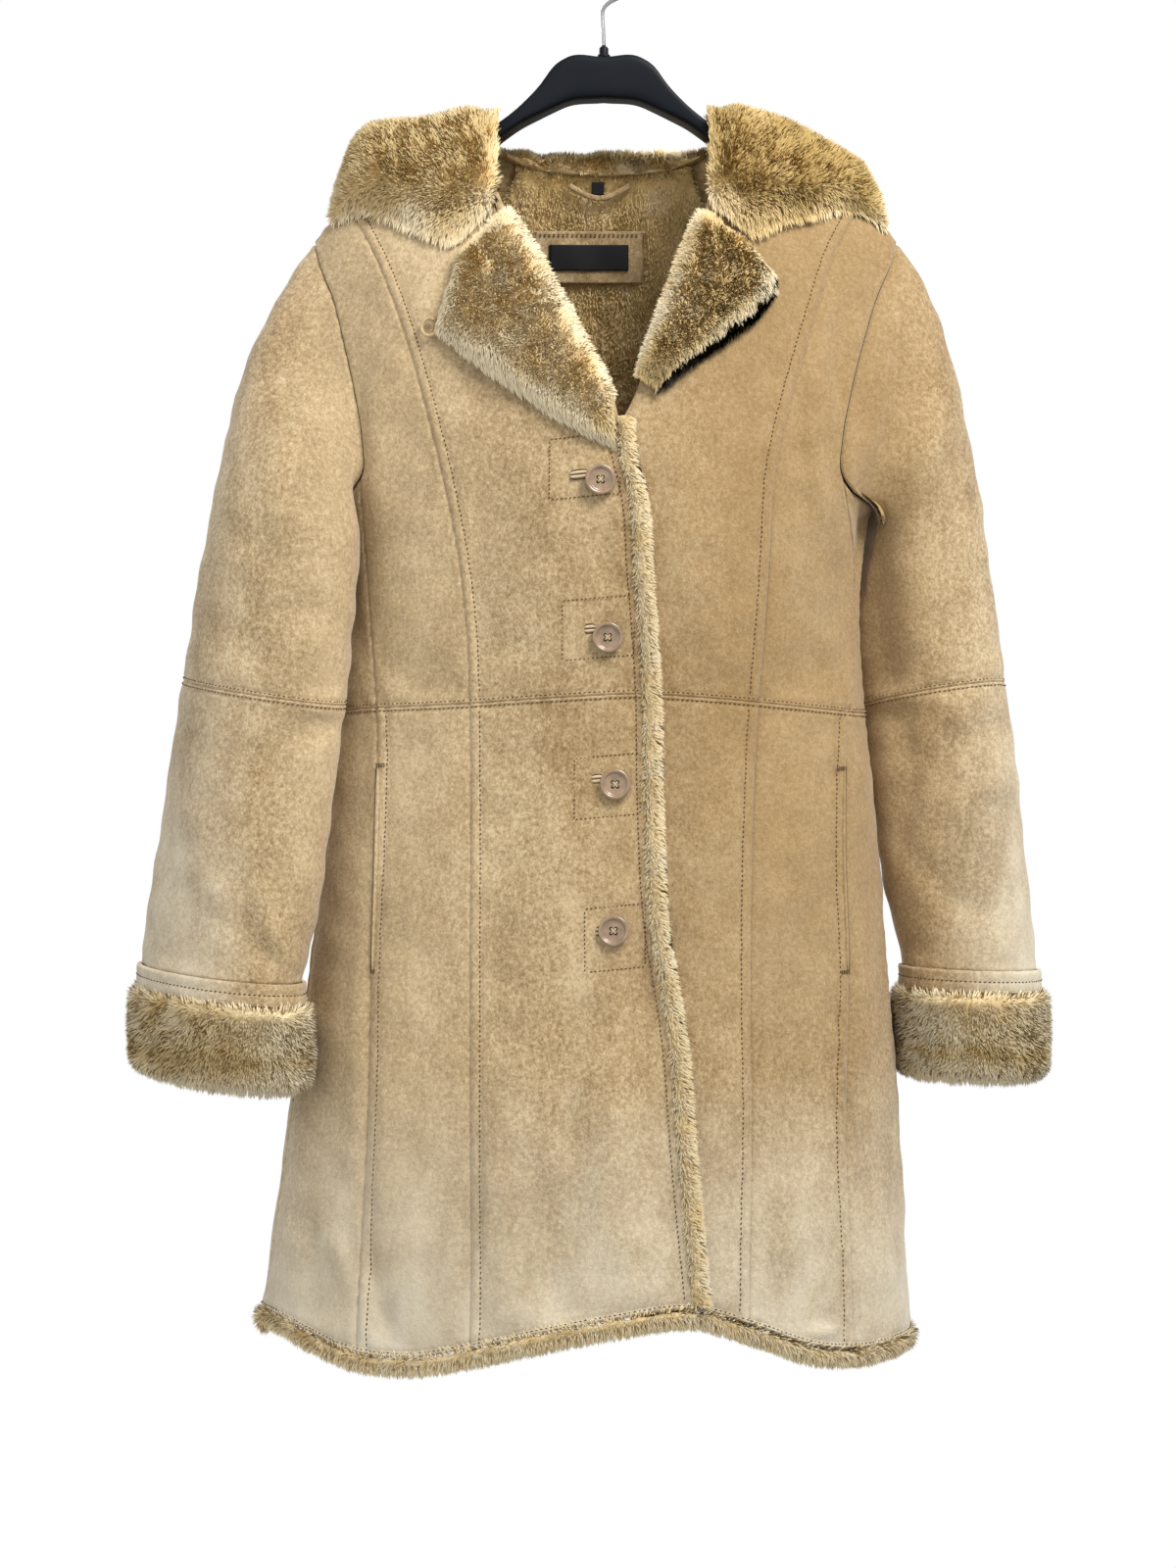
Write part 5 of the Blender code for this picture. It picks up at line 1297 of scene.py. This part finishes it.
def fine_hood():
    """The laid-back hood: its suede outside, and the fur inside its pouch."""
    for side_name, side in SIDES.items():
        turns = np.linspace(side * POUCH_TURNS[0], side * 180.0, int(52 * FINE))[None, :]
        downs = places(0.2, PANEL_STEP)[:, None]
        form = pouch_point(np.repeat(turns, len(downs), 0), downs * np.ones_like(turns))
        normals = pouch_normals(form)
        normals[:, -1, 0] = 0.0
        normals = unit(normals)
        distances, along = borders(form)
        rise = np.clip(relief(form, distances, (FREE, SEAM, ("free", 6.0), SEAM), along), -0.0012, 0.0030)
        outer = form + normals * rise[..., None]
        outer[:, -1, 0] = side * SEAM_GAP
        suede_piece(f"hood_outer_{side_name}", outer, outer - normals * WALL * 0.9)
        for border in ("top", "end"):
            sew_beside(outer, 0.006, border, 0.004, 0.004)
    reach = (180.0 - POUCH_TURNS[0]) * 5 / 6
    turns = np.linspace(180.0 - reach, 180.0 + reach, 70)[None, :]
    downs = np.linspace(0, 0.71, 26)[:, None]
    form = pouch_point(np.repeat(turns, 26, 0), downs * np.ones_like(turns))
    normals = pouch_normals(form)
    under = form - normals * (WALL + LAY_GAP)
    base = under - normals * PILE * 0.4
    under[0, :, 2] += 0.004
    base[0, :, 2] += 0.006
    tone = 0.42 + mottle(base, 97, (0.2, 0.030), (0.12, 0.011)) + 0.3 * bell(downs, 0.08)
    lot = (base, rounded(-normals, base, ("top",), 0.8), spread_flow(base, (0, 0, -0.2)), STRANDS["hood_outer"],
           np.full(tone.shape, 0.0070), tone)
    fur_piece("hood_lining_outer", base, under, [lot], tone)
    turns = np.linspace(141.0, 219.0, 50)[None, :]
    low = -0.215 - 0.105 * np.sqrt(ease(180.0 - np.abs(turns - 180.0), POUCH_TURNS[0], 180.0))
    z = -0.210 + (low + 0.210) * np.linspace(0, 1, 22)[:, None]
    turns = np.repeat(turns, 22, 0)
    under = on_body(turns, z, np.full(z.shape, LAY_GAP))
    base = on_body(turns, z, np.full(z.shape, LAY_GAP + PILE * 0.45))
    tone = 0.42 + mottle(base, 99, (0.2, 0.030), (0.12, 0.011))
    lot = (base, face_out(base, under), spread_flow(base, (0, 0, -0.5)), STRANDS["hood_back"],
           np.full(tone.shape, 0.0062), tone)
    fur_piece("hood_lining_back", base, under, [lot], tone)


def fur_strip(name, turn, z, sink, lifted, half_thick, flow, count, length):
    """Fur along an edge, sunk below the body's surface: a rounded strip with its strands."""
    centre = on_body(turn, z, np.full(z.shape, -sink), lifted)
    away = body_normal(turn, z)
    across = unit(np.cross(np.gradient(centre, axis=0), away))
    angles = np.arange(14) * 2 * np.pi / 14
    ring = (np.cos(angles) * EDGE_FUR_HALF_WIDTH * 0.62)[None, :, None] * across[:, None] + (
        np.sin(angles) * half_thick * 0.62)[None, :, None] * away[:, None]
    outer, under = centre[:, None] + ring, centre[:, None] + ring * 0.2
    closed = closed_ring(outer)
    normals = unit(closed - centre[:, None])
    tone = EDGE_TONE + mottle(closed, 111, (0.09, 0.022), (0.07, 0.008))
    lot = (closed, normals, spread_flow(closed, flow), count, np.full(tone.shape, length), tone,
           unit(np.broadcast_to(away[:, None], closed.shape) + 0.35 * normals))
    fur_piece(name, outer, under, [lot], tone[:, :-1], ring=True, is_sheet=False)


def fine_edges():
    z = np.linspace(-0.352, -0.962, 160)
    x = read(FRONT_EDGES, 1, z) + 0.0002
    path = on_body(front_turn(x, z), z, np.full(z.shape, -0.0008), True)
    sweep_mesh("front_cut_edge", tube_rings(path, 0.0009, 8), CUT_EDGE)
    z = np.linspace(-0.352, -0.957, 130)
    x = read(FRONT_EDGES, 1, z) + 0.0034
    fur_strip("edge_fur_left", front_turn(x, z), z, 0.0016, True, 0.0040, (0.80, -0.02, -0.62), STRANDS["edge"], 0.0068)
    edge_turn, hidden_turn = (float(front_turn(x, -0.960)) for x in (0.0610, 0.0180))
    for name, first, last, sink, lifted in (
        ("front_left", -79.6, edge_turn, 0.0030, True),
        ("front_right", hidden_turn, 79.6, 0.0048, False),
        ("back", 80.4, 360.0 - 80.4, 0.0030, False),
    ):
        turn = np.linspace(first, last, 110)
        fur_strip(f"hem_fur_{name}", turn, hem_z(turn) - 0.0046, sink, lifted, 0.0034, (0.1, 0.0, -1.0),
                  STRANDS[f"hem_{name}"], 0.0078)


# ---------------------------------------------------------------- trims


def turned(profile, around):
    """Vertices and faces of a profile of (radius, height) turned about Z, closed at both ends."""
    angles = np.arange(around) * 2 * np.pi / around
    profile = np.array(profile)
    rings = np.stack([np.outer(profile[:, 0], np.cos(angles)), np.outer(profile[:, 0], np.sin(angles)),
                      np.repeat(profile[:, 1:], around, 1)], -1)
    vertices = rings.reshape(-1, 3)
    faces = [list(range(around))[::-1], list(range(len(vertices) - around, len(vertices)))]
    faces += [list(map(int, f)) for f in grid_faces(len(profile), around, True)]
    return vertices, faces


def sweep_mesh(name, rings, material, replaces=()):
    """A closed sweep of rings with flat ends."""
    rows, columns = rings.shape[:2]
    vertices = rings.reshape(-1, 3)
    faces = [list(map(int, f)) for f in grid_faces(rows, columns, True)]
    faces += [list(range(columns))[::-1], list(range((rows - 1) * columns, rows * columns))]
    volume = sum(np.dot(vertices[f[0]], np.cross(vertices[f[k]], vertices[f[k + 1]]))
                 for f in faces for k in range(1, len(f) - 1))
    if volume < 0:
        faces = [f[::-1] for f in faces]
    return add_mesh(name, vertices, faces, [material], replaces=replaces)


def join(parts):
    """Vertices and faces of several meshes as those of one."""
    vertices, faces, base = [], [], 0
    for points, cells in parts:
        vertices.append(points)
        faces += [[int(v) + base for v in cell] for cell in cells]
        base += len(points)
    return np.concatenate(vertices), faces


def fine_button(index, x, z, tilt):
    name = f"button_{index}"
    x, z, thick = np.array(x), np.array(z), BUTTON_THICK
    face = 0.60 * thick
    away = body_normal(front_turn(x, z), z)
    swing = np.arctan2(away[0], -away[1]) + np.radians(tilt) * 0.4
    spin = np.array(Euler((np.pi / 2 - np.arcsin(away[2]), 0.0, swing), "XYZ").to_matrix())
    place = on_left_front(x, z, 0.0013)
    reach = BUTTON_HOLE_SPACING * 1.15    # from the middle to each hole
    # The holes are dark discs laid on the button's face: painted shade standing in for the holes' depth.
    holes = []
    for angle in np.radians((45, 135, 225, 315)):
        hole, cells = turned([(0.0011, 0.585 * thick), (0.0012, face + 0.00012), (0.0001, face + 0.00013)], 20)
        holes.append((hole + (reach * np.cos(angle), reach * np.sin(angle), 0.0), cells))
    threads = []
    s = np.linspace(-1, 1, 15)
    for angle, over in ((45, 0.0003), (135, 0.0)):
        way = np.array([np.cos(np.radians(angle)), np.sin(np.radians(angle))])
        for off in (-0.00026, 0.00026):
            path = np.stack([s * reach * way[0] - off * way[1], s * reach * way[1] + off * way[0],
                             face + 0.0006 * (1 - s ** 4) + over], -1)
            threads.append((tube_rings(path, 0.00026, 6).reshape(-1, 3), grid_faces(15, 6, True)))
    disc = turned([(BUTTON_RADIUS * out, thick * up) for out, up in BUTTON_PROFILE], 72)
    for part, (vertices, faces), material, replaced in (
        ("disc", disc, BUTTON, [name]), ("holes", join(holes), HOLE_SHADE, ()), ("thread", join(threads), WELT, ()),
    ):
        add_mesh(f"{name}_{part}", vertices @ spin.T + place, faces, [material], replaces=replaced)


# Stitched boxes round the buttonholes: left, right, bottom, top, then the shown slit's ends and height, and its slope.
BUTTONHOLES = (
    (-0.0375, 0.0105, -0.409, -0.367, -0.0235, -0.0115, -0.3930, 0.10),
    (-0.0288, 0.0200, -0.519, -0.478, -0.0135, -0.0065, -0.4980, 0.08),
    (-0.0205, 0.0240, -0.629, -0.587, -0.0087, -0.0016, -0.6020, 0.08),
    (-0.0135, 0.0275, -0.733, -0.690, -0.0060, 0.0010, -0.7060, 0.06),
)


def on_left_front(x, z, out=0.0):
    """Points on the left front as it is, folds included."""
    x, z = np.asarray(x, float), np.asarray(z, float)
    turn = front_turn(x, z)
    near = (read(FRONT_EDGES, 1, z) - x) * 1000
    return on_body(turn, z, out + softness(body(turn, z)) * ease(near, 0.0, 14.0), True)


def buttonholes():
    for left, right, low, top, slit_left, slit_right, slit_z, slope in BUTTONHOLES:
        corners = [(left, top - 0.001), (right, top + 0.003), (right, low + 0.003), (left, low - 0.001)]
        s = np.linspace(0, 1, 40)
        for (x0, z0), (x1, z1) in zip(corners, corners[1:] + corners[:1]):
            x, z = x0 + (x1 - x0) * s, z0 + (z1 - z0) * s
            sew(on_left_front(x, z, 0.0001), body_normal(front_turn(x, z), z), pitch=0.0030, length=0.0021)
        s = np.linspace(-1, 1, 21)
        x = (slit_left + slit_right) / 2 + (slit_right - slit_left) / 2 * s
        for name, off, radius, out, material in (
            ("upper", 0.0014, 0.0011, 0.0003, WELT), ("lower", -0.0014, 0.0011, 0.0003, WELT),
            # The "slit" tube is painted shade: a dark line, in the thread's colour, laid in the opening between the two
            # welts.
            ("slit", 0.0, 0.0009, 0.0002, THREAD_AND_SLIT_SHADE), ("rim", 0.0031, 0.00045, 0.0003, THREAD_AND_SLIT_SHADE),
            ("low_rim", -0.0031, 0.00045, 0.0003, THREAD_AND_SLIT_SHADE),
        ):
            z = slit_z + slope * (x - x.mean()) + off * np.sqrt(1 - 0.8 * s ** 4)
            radii = radius * np.sqrt(np.clip(1.02 - s ** 6, 0.05, 1))
            rings = tapered_tube(on_left_front(x, z, out), radii, 10)
            sweep_mesh(f"buttonhole_{len(bpy.data.objects)}_{name}", rings, material)


# Pocket openings in the side-front seams: side, seam column, top and bottom.
POCKETS = (("left", 2, -0.592, -0.736), ("right", 4, -0.594, -0.737))


def pockets():
    for side_name, column, top, low in POCKETS:
        side = SIDES[side_name]
        z = np.linspace(top, low, 60)
        taper = np.sqrt(np.clip(1.01 - np.linspace(-1, 1, 60) ** 8, 0.04, 1))
        # The "gap" tube is painted shade: a dark strip laid along each pocket opening where only shade falls. The "lip"
        # beside it is suede.
        for name, shift, out, radius, material in (("lip", 0.0015, 0.0006, 0.0014, SUEDE),
                                                   ("gap", 0.0, 0.0002, 0.0006, SHADE)):
            x = read(FRONT_SEAMS, column, z) - side * shift
            rings = tapered_tube(on_body(front_turn(x, z), z, out), radius * taper, 12)
            sweep_mesh(f"pocket_{side_name}_{name}", rings, material)
        for end_z in (top, low):
            for k in range(-2, 3):
                x = read(FRONT_SEAMS, column, end_z) - side * np.linspace(0.000, 0.0085, 14)
                z = np.full(14, end_z + k * 0.0006)
                turn = front_turn(x, z)
                sew(on_body(turn, z, 0.0010), body_normal(turn, z), pitch=0.0021, length=0.0022, thick=0.0003)


def fine_trims():
    for index, (x, z, tilt) in enumerate(BUTTONS, start=1):
        fine_button(index, x, z, tilt)
    buttonholes()
    pockets()
    face = WALL + LINING_GAP + PILE
    for name, box, depth, thick, material, slot, count in (
        ("neck_patch", PATCH, face + 0.0007, 0.0015, SUEDE, "suede", 40),
        ("neck_label", LABEL, face + 0.0026, 0.0008, LABEL_CLOTH, "label", 24),
        ("size_tab", SIZE_TAB, face + 0.0004, 0.0008, LABEL_CLOTH, "label", 12),
    ):
        left, right, low, high = box
        x, z = np.meshgrid(np.linspace(left, right, count), np.linspace(high, low, max(count * 2 // 3, 8)))
        x = x + 0.0006 * np.sin(z * 260 + 1) * (name == "neck_patch")
        wave = 0.0007 * np.sin(x * 170 + 1) * np.sin(z * 150) * (name != "size_tab")
        near = lining_point(x, z, depth + wave)
        far = lining_point(x, z, depth + thick + wave)
        vertices, faces, _ = shell_mesh(far, near)
        piece = add_mesh(name + "_cloth", vertices, faces, [material], replaces=[name])
        if name != "size_tab":
            declare(far)
        if name == "neck_patch":
            for row in (2, 3):
                sew(far[row, 1:-1], np.tile([0.0, -1.0, 0.0], (count - 2, 1)))
    route = np.array(HANGING_LOOP)
    share = np.linspace(0.0, 1.0, 50)
    x = np.interp(share, np.linspace(0, 1, len(route)), route[:, 0])
    z = read(HANGING_LOOP, 1, x)
    path = lining_point(x, z, face + 0.0034 + 0.0012 * np.sin(np.pi * share))
    sweep_mesh("hanging_loop_cloth", tube_rings(path, 0.0021, 16, 0.62), SUEDE, ["hanging_loop"])
    angles = np.radians(np.linspace(50, 310, 50))
    x, z = -0.1215 + 0.0052 * np.cos(angles), -0.2865 + 0.0062 * np.sin(angles)
    path = on_body(front_turn(x, z), z, np.full(x.shape, 0.0045))
    sweep_mesh("lapel_loop_cloth", tube_rings(path, 0.0013, 12), SUEDE, ["lapel_loop"])


def fine_hanger():
    distances = np.array([0.0, 0.027, 0.036, 0.0465, 0.060, 0.079, 0.098, 0.125, 0.152, 0.174, 0.186, 0.191])
    fine = at_places(distances, np.linspace(0, 11, 90))
    stations = np.concatenate([-fine[::-1], fine[1:]])
    around = 44
    angles = (np.arange(around) + 0.5) * 2 * np.pi / around
    rings = []
    for x in stations:
        top, low, deep, square = (float(read(HANGER, k, abs(x))) for k in (1, 2, 3, 4))
        power = 2.0 / square
        y = deep * np.sign(np.cos(angles)) * np.abs(np.cos(angles)) ** power
        z = (top + low) / 2 + (top - low) / 2 * np.sign(np.sin(angles)) * np.abs(np.sin(angles)) ** power
        rings.append(np.stack([np.full(around, x), y, z], -1))
    sweep_mesh("hanger_arms_moulded", np.array(rings), PLASTIC, ["hanger_arms"])
    vertices, faces = turned(HANGER_COLLAR, 48)
    add_mesh("hanger_collar_moulded", vertices, faces, [PLASTIC], replaces=["hanger_collar"])
    sweep = np.radians(np.linspace(-48.0, 205.0, 110))
    arc = np.stack([HOOK_RADIUS * np.cos(sweep), 0 * sweep, HOOK_WIRE - HOOK_RADIUS + HOOK_RADIUS * np.sin(sweep)], -1)
    stem_x, stem_z = (at_places(column, np.linspace(0, 5, 60)) for column in zip(*HOOK_STEM))
    path = np.concatenate([np.stack([stem_x, 0 * stem_x, stem_z], -1), arc[1:]])
    sweep_mesh("hanger_hook_wire", tube_rings(path, HOOK_WIRE, 20), STEEL, ["hanger_hook"])


# ---------------------------------------------------------------- materials


def linear(*rgb):
    """sRGB values of 0 to 255 as a linear colour."""
    value = np.array(rgb) / 255
    return (*np.where(value <= 0.04045, value / 12.92, ((value + 0.055) / 1.055) ** 2.4), 1.0)


class Nodes:
    """A material's nodes, added one after another."""

    def __init__(self, name, **sockets):
        self.material = bpy.data.materials.new(name)
        self.material.use_nodes = True
        self.tree = self.material.node_tree
        self.shader = self.tree.nodes["Principled BSDF"]
        for key, value in sockets.items():
            self.shader.inputs[key.replace("_", " ")].default_value = value

    def add(self, kind, **settings):
        node = self.tree.nodes.new(kind)
        for key, value in settings.items():
            setattr(node, key, value)
        return node

    def link(self, source, target):
        self.tree.links.new(source, target)

    def noise(self, scale, detail=3.0, rough=0.5, stretch=(1, 1, 1), seed=0.0):
        place = self.add("ShaderNodeTexCoord")
        mapping = self.add("ShaderNodeMapping")
        mapping.inputs["Scale"].default_value = stretch
        mapping.inputs["Location"].default_value = (seed, seed * 1.7, seed * 0.6)
        self.link(place.outputs["Object"], mapping.inputs["Vector"])
        noise = self.add("ShaderNodeTexNoise")
        noise.inputs["Scale"].default_value = scale
        noise.inputs["Detail"].default_value = detail
        noise.inputs["Roughness"].default_value = rough
        self.link(mapping.outputs["Vector"], noise.inputs["Vector"])
        return noise.outputs["Fac"]

    def range(self, source, low, high, to_low=0.0, to_high=1.0):
        node = self.add("ShaderNodeMapRange")
        for key, value in zip(("From Min", "From Max", "To Min", "To Max"), (low, high, to_low, to_high)):
            node.inputs[key].default_value = value
        self.link(source, node.inputs["Value"])
        return node.outputs["Result"]

    def maths(self, operation, a, b):
        node = self.add("ShaderNodeMath", operation=operation)
        for value, socket in ((a, node.inputs[0]), (b, node.inputs[1])):
            if isinstance(value, float):
                socket.default_value = value
            else:
                self.link(value, socket)
        return node.outputs[0]

    def plus(self, a, b):
        return self.maths("ADD", a, b)

    def times(self, a, b):
        return self.maths("MULTIPLY", a, b)

    def mix(self, factor, a, b):
        node = self.add("ShaderNodeMix", data_type="RGBA")
        self.link(factor, node.inputs["Factor"])
        sockets = [s for s in node.inputs if s.type == "RGBA"]
        for value, socket in ((a, sockets[0]), (b, sockets[1])):
            if isinstance(value, tuple):
                socket.default_value = value
            else:
                self.link(value, socket)
        return [s for s in node.outputs if s.type == "RGBA"][0]

    def ramp(self, source, stops):
        node = self.add("ShaderNodeValToRGB")
        elements = node.color_ramp.elements
        while len(elements) < len(stops):
            elements.new(0.5)
        for element, (at, colour) in zip(elements, stops):
            element.position = at
            element.color = colour
        self.link(source, node.inputs["Fac"])
        return node.outputs["Color"]

    def bump(self, heights, strength, distance):
        node = self.add("ShaderNodeBump")
        node.inputs["Strength"].default_value = strength
        node.inputs["Distance"].default_value = distance
        self.link(heights, node.inputs["Height"])
        self.link(node.outputs["Normal"], self.shader.inputs["Normal"])


def suede_material():
    n = Nodes("suede", Roughness=0.95, Sheen_Weight=0.25, Sheen_Roughness=0.55, Specular_IOR_Level=0.12)
    dark, middle, pale = linear(132, 106, 70), linear(176, 150, 110), linear(212, 190, 152)
    spots = n.noise(26.0, 4.0, 0.6, (1, 1, 0.55), 3.0)
    pebble = n.noise(330.0, 3.0, 0.7, (1, 1, 0.85), 2.0)
    speckle = n.noise(700.0, 3.0, 0.65, (1, 1, 0.7), 1.0)
    streak = n.noise(95.0, 3.0, 0.6, (1, 1, 0.16), 5.0)
    value = n.plus(n.times(spots, 0.55), n.times(n.noise(7.0, 2.0, 0.5, (1, 1, 0.7), 8.0), 0.45))
    for grain, share in ((speckle, 0.85), (pebble, 1.0), (streak, 0.24)):
        value = n.plus(value, n.times(n.plus(grain, -0.5), share))
    colour = n.ramp(value, [(0.22, dark), (0.50, middle), (0.78, pale)])
    place = n.add("ShaderNodeTexCoord")
    parts = n.add("ShaderNodeSeparateXYZ")
    n.link(place.outputs["Object"], parts.inputs[0])
    x, z = parts.outputs["X"], parts.outputs["Z"]
    from_centre = n.maths("ABSOLUTE", x, 0.0)
    # The right front is warmer, the left one paler, and the hem and the lower sleeves are faded.
    warm = n.times(n.times(n.range(x, -0.06, 0.10), n.range(z, -0.92, -0.70)), n.range(from_centre, 0.27, 0.19))
    colour = n.mix(n.times(warm, 0.66), colour, linear(158, 128, 84))
    colour = n.mix(n.times(n.range(x, -0.03, -0.13, 0.0, 0.30), n.range(x, -0.24, -0.19)), colour, pale)
    sleeves = n.times(n.range(from_centre, 0.235, 0.30), n.range(z, -0.52, -0.74, 0.25, 1.0))
    fade = n.times(n.maths("MAXIMUM", n.range(z, -0.80, -0.985), sleeves), n.range(spots, 0.30, 0.65, 0.40, 1.0))
    colour = n.mix(n.times(fade, 0.80), colour, linear(222, 214, 192))
    n.link(colour, n.shader.inputs["Base Color"])
    n.bump(n.plus(n.times(pebble, 0.7), n.times(n.noise(1500.0, 1.0, 0.5), 0.3)), 0.60, 0.0014)
    return n.material


def fur_material():
    n = Nodes("fur", Roughness=0.85, Sheen_Weight=0.10, Sheen_Roughness=0.5, Specular_IOR_Level=0.15)
    place = n.add("ShaderNodeUVMap", uv_map="OFBake")
    parts = n.add("ShaderNodeSeparateXYZ")
    n.link(place.outputs["UV"], parts.inputs[0])
    tone, tip = parts.outputs["X"], parts.outputs["Y"]
    dark = n.ramp(tip, [(0.0, linear(142, 114, 62)), (0.45, linear(180, 150, 90)), (1.0, linear(204, 178, 120))])
    gold = n.ramp(tip, [(0.0, linear(190, 158, 100)), (0.45, linear(228, 198, 138)), (1.0, linear(244, 222, 172))])
    cream = n.ramp(tip, [(0.0, linear(220, 196, 148)), (0.45, linear(244, 226, 186)), (1.0, linear(253, 243, 216))])
    first = n.mix(n.range(tone, 0.05, 0.50), dark, gold)
    n.link(n.mix(n.range(tone, 0.50, 0.95), first, cream), n.shader.inputs["Base Color"])
    return n.material


def plain(name, colour, grain=0.0, scale=900.0, bump=0.0, **sockets):
    """A material of one colour with its grain; bump is how strongly the grain stands out."""
    n = Nodes(name, **sockets)
    speckle = n.noise(scale, 2.0)
    dark = tuple(c * (1 - grain) for c in colour[:3]) + (1.0,)
    light_colour = tuple(min(c * (1 + grain), 1.0) for c in colour[:3]) + (1.0,)
    n.link(n.ramp(speckle, [(0.3, dark), (0.7, light_colour)]), n.shader.inputs["Base Color"])
    if bump:
        n.bump(speckle, bump, 0.0003)
    return n.material


SUEDE = suede_material()
LINING = plain("fur_lining", linear(176, 150, 104), 0.35, 260.0, Roughness=0.95)
CUT_EDGE = plain("cut_edge", linear(214, 202, 178), 0.12, Roughness=0.9)
FUR = fur_material()
# Painted shade for the pocket openings.
SHADE = plain("pocket_painted_shade", linear(92, 74, 50), 0.2, Roughness=0.95)
WELT = plain("welt", linear(206, 186, 148), 0.15, Roughness=0.9)
# Thread colour, also used as painted shade in the buttonhole slits.
THREAD_AND_SLIT_SHADE = plain("thread", linear(84, 58, 36), 0.2, Roughness=0.7)
BUTTON = plain("button", linear(150, 124, 98), 0.22, 160.0, Roughness=0.28, Specular_IOR_Level=0.7,
               Coat_Weight=0.6, Coat_Roughness=0.12)
# Painted shade for the button's holes.
HOLE_SHADE = plain("button_hole_painted_shade", linear(26, 18, 13), 0.1, Roughness=0.9)
LABEL_CLOTH = plain("label", linear(18, 18, 20), 0.3, 1400.0, Roughness=0.85)
PLASTIC = plain("plastic", linear(7, 13, 21), 0.10, 900.0, 0.08, Roughness=0.50, Specular_IOR_Level=0.18)
STEEL = plain("steel", linear(196, 196, 198), 0.04, 300.0, Roughness=0.22, Metallic=1.0)


# ---------------------------------------------------------------- the scene


def light(name, kind, energy, size, place, aim, colour=(1, 1, 1)):
    lamp = bpy.data.lights.new(name, kind)
    lamp.energy = energy
    lamp.color = colour
    if kind == "AREA":
        lamp.shape = "RECTANGLE"
        lamp.size, lamp.size_y = size
    thing = bpy.data.objects.new(name, lamp)
    thing.location = place
    thing.rotation_euler = (Vector(aim) - Vector(place)).to_track_quat("-Z", "Y").to_euler()
    bpy.context.scene.collection.objects.link(thing)


def set_scene():
    world = bpy.data.worlds.new("studio")
    bpy.context.scene.world = world
    world.use_nodes = True
    tree = world.node_tree
    ambient = tree.nodes["Background"]
    ambient.inputs["Color"].default_value = (0.97, 0.985, 1.0, 1.0)
    ambient.inputs["Strength"].default_value = AMBIENT
    seen = tree.nodes.new("ShaderNodeBackground")
    seen.inputs["Color"].default_value = (1.0, 1.0, 1.0, 1.0)
    path, mix = tree.nodes.new("ShaderNodeLightPath"), tree.nodes.new("ShaderNodeMixShader")
    tree.links.new(path.outputs["Is Camera Ray"], mix.inputs[0])
    tree.links.new(ambient.outputs[0], mix.inputs[1])
    tree.links.new(seen.outputs[0], mix.inputs[2])
    tree.links.new(mix.outputs[0], tree.nodes["World Output"].inputs["Surface"])
    light("key", "AREA", KEY, (0.9, 0.9), (1.05, -1.35, 1.25), (0.0, 0.0, -0.55), (1.0, 0.985, 0.96))
    light("behind", "AREA", 34.0, (1.2, 1.2), (-0.9, 1.9, 0.8), (0.0, 0.0, -0.5))
    light("fill", "AREA", FILL, (1.6, 1.6), (-1.8, -1.6, -0.2), (0.0, 0.0, -0.55))
    camera = bpy.data.cameras.new("camera")
    camera.sensor_fit = "VERTICAL"
    camera.sensor_height = 36.0
    camera.lens = 2535 * 36.0 / 1600
    view = bpy.data.objects.new("camera", camera)
    view.matrix_world = Matrix.Translation((-0.0114, -1.80, -0.605)) @ Matrix.Rotation(np.pi / 2, 4, "X")
    bpy.context.scene.collection.objects.link(view)
    bpy.context.scene.camera = view
    bpy.context.scene.view_settings.view_transform = "Standard"


AMBIENT, KEY, FILL = 0.60, 62.0, 10.0


def main():
    for side_name, side in SIDES.items():
        fine_front(side_name, side)
        fine_back(side_name, side)
        fine_sleeve(side_name)
        fine_cuff(side_name, side)
        fine_wing(side_name, side)
        fine_lapel(side_name, side)
    fine_roll()
    fine_back_lining()
    fine_hood()
    fine_edges()
    fine_trims()
    fine_hanger()
    add_stitches("stitches", THREAD_AND_SLIT_SHADE)
    set_scene()


main()
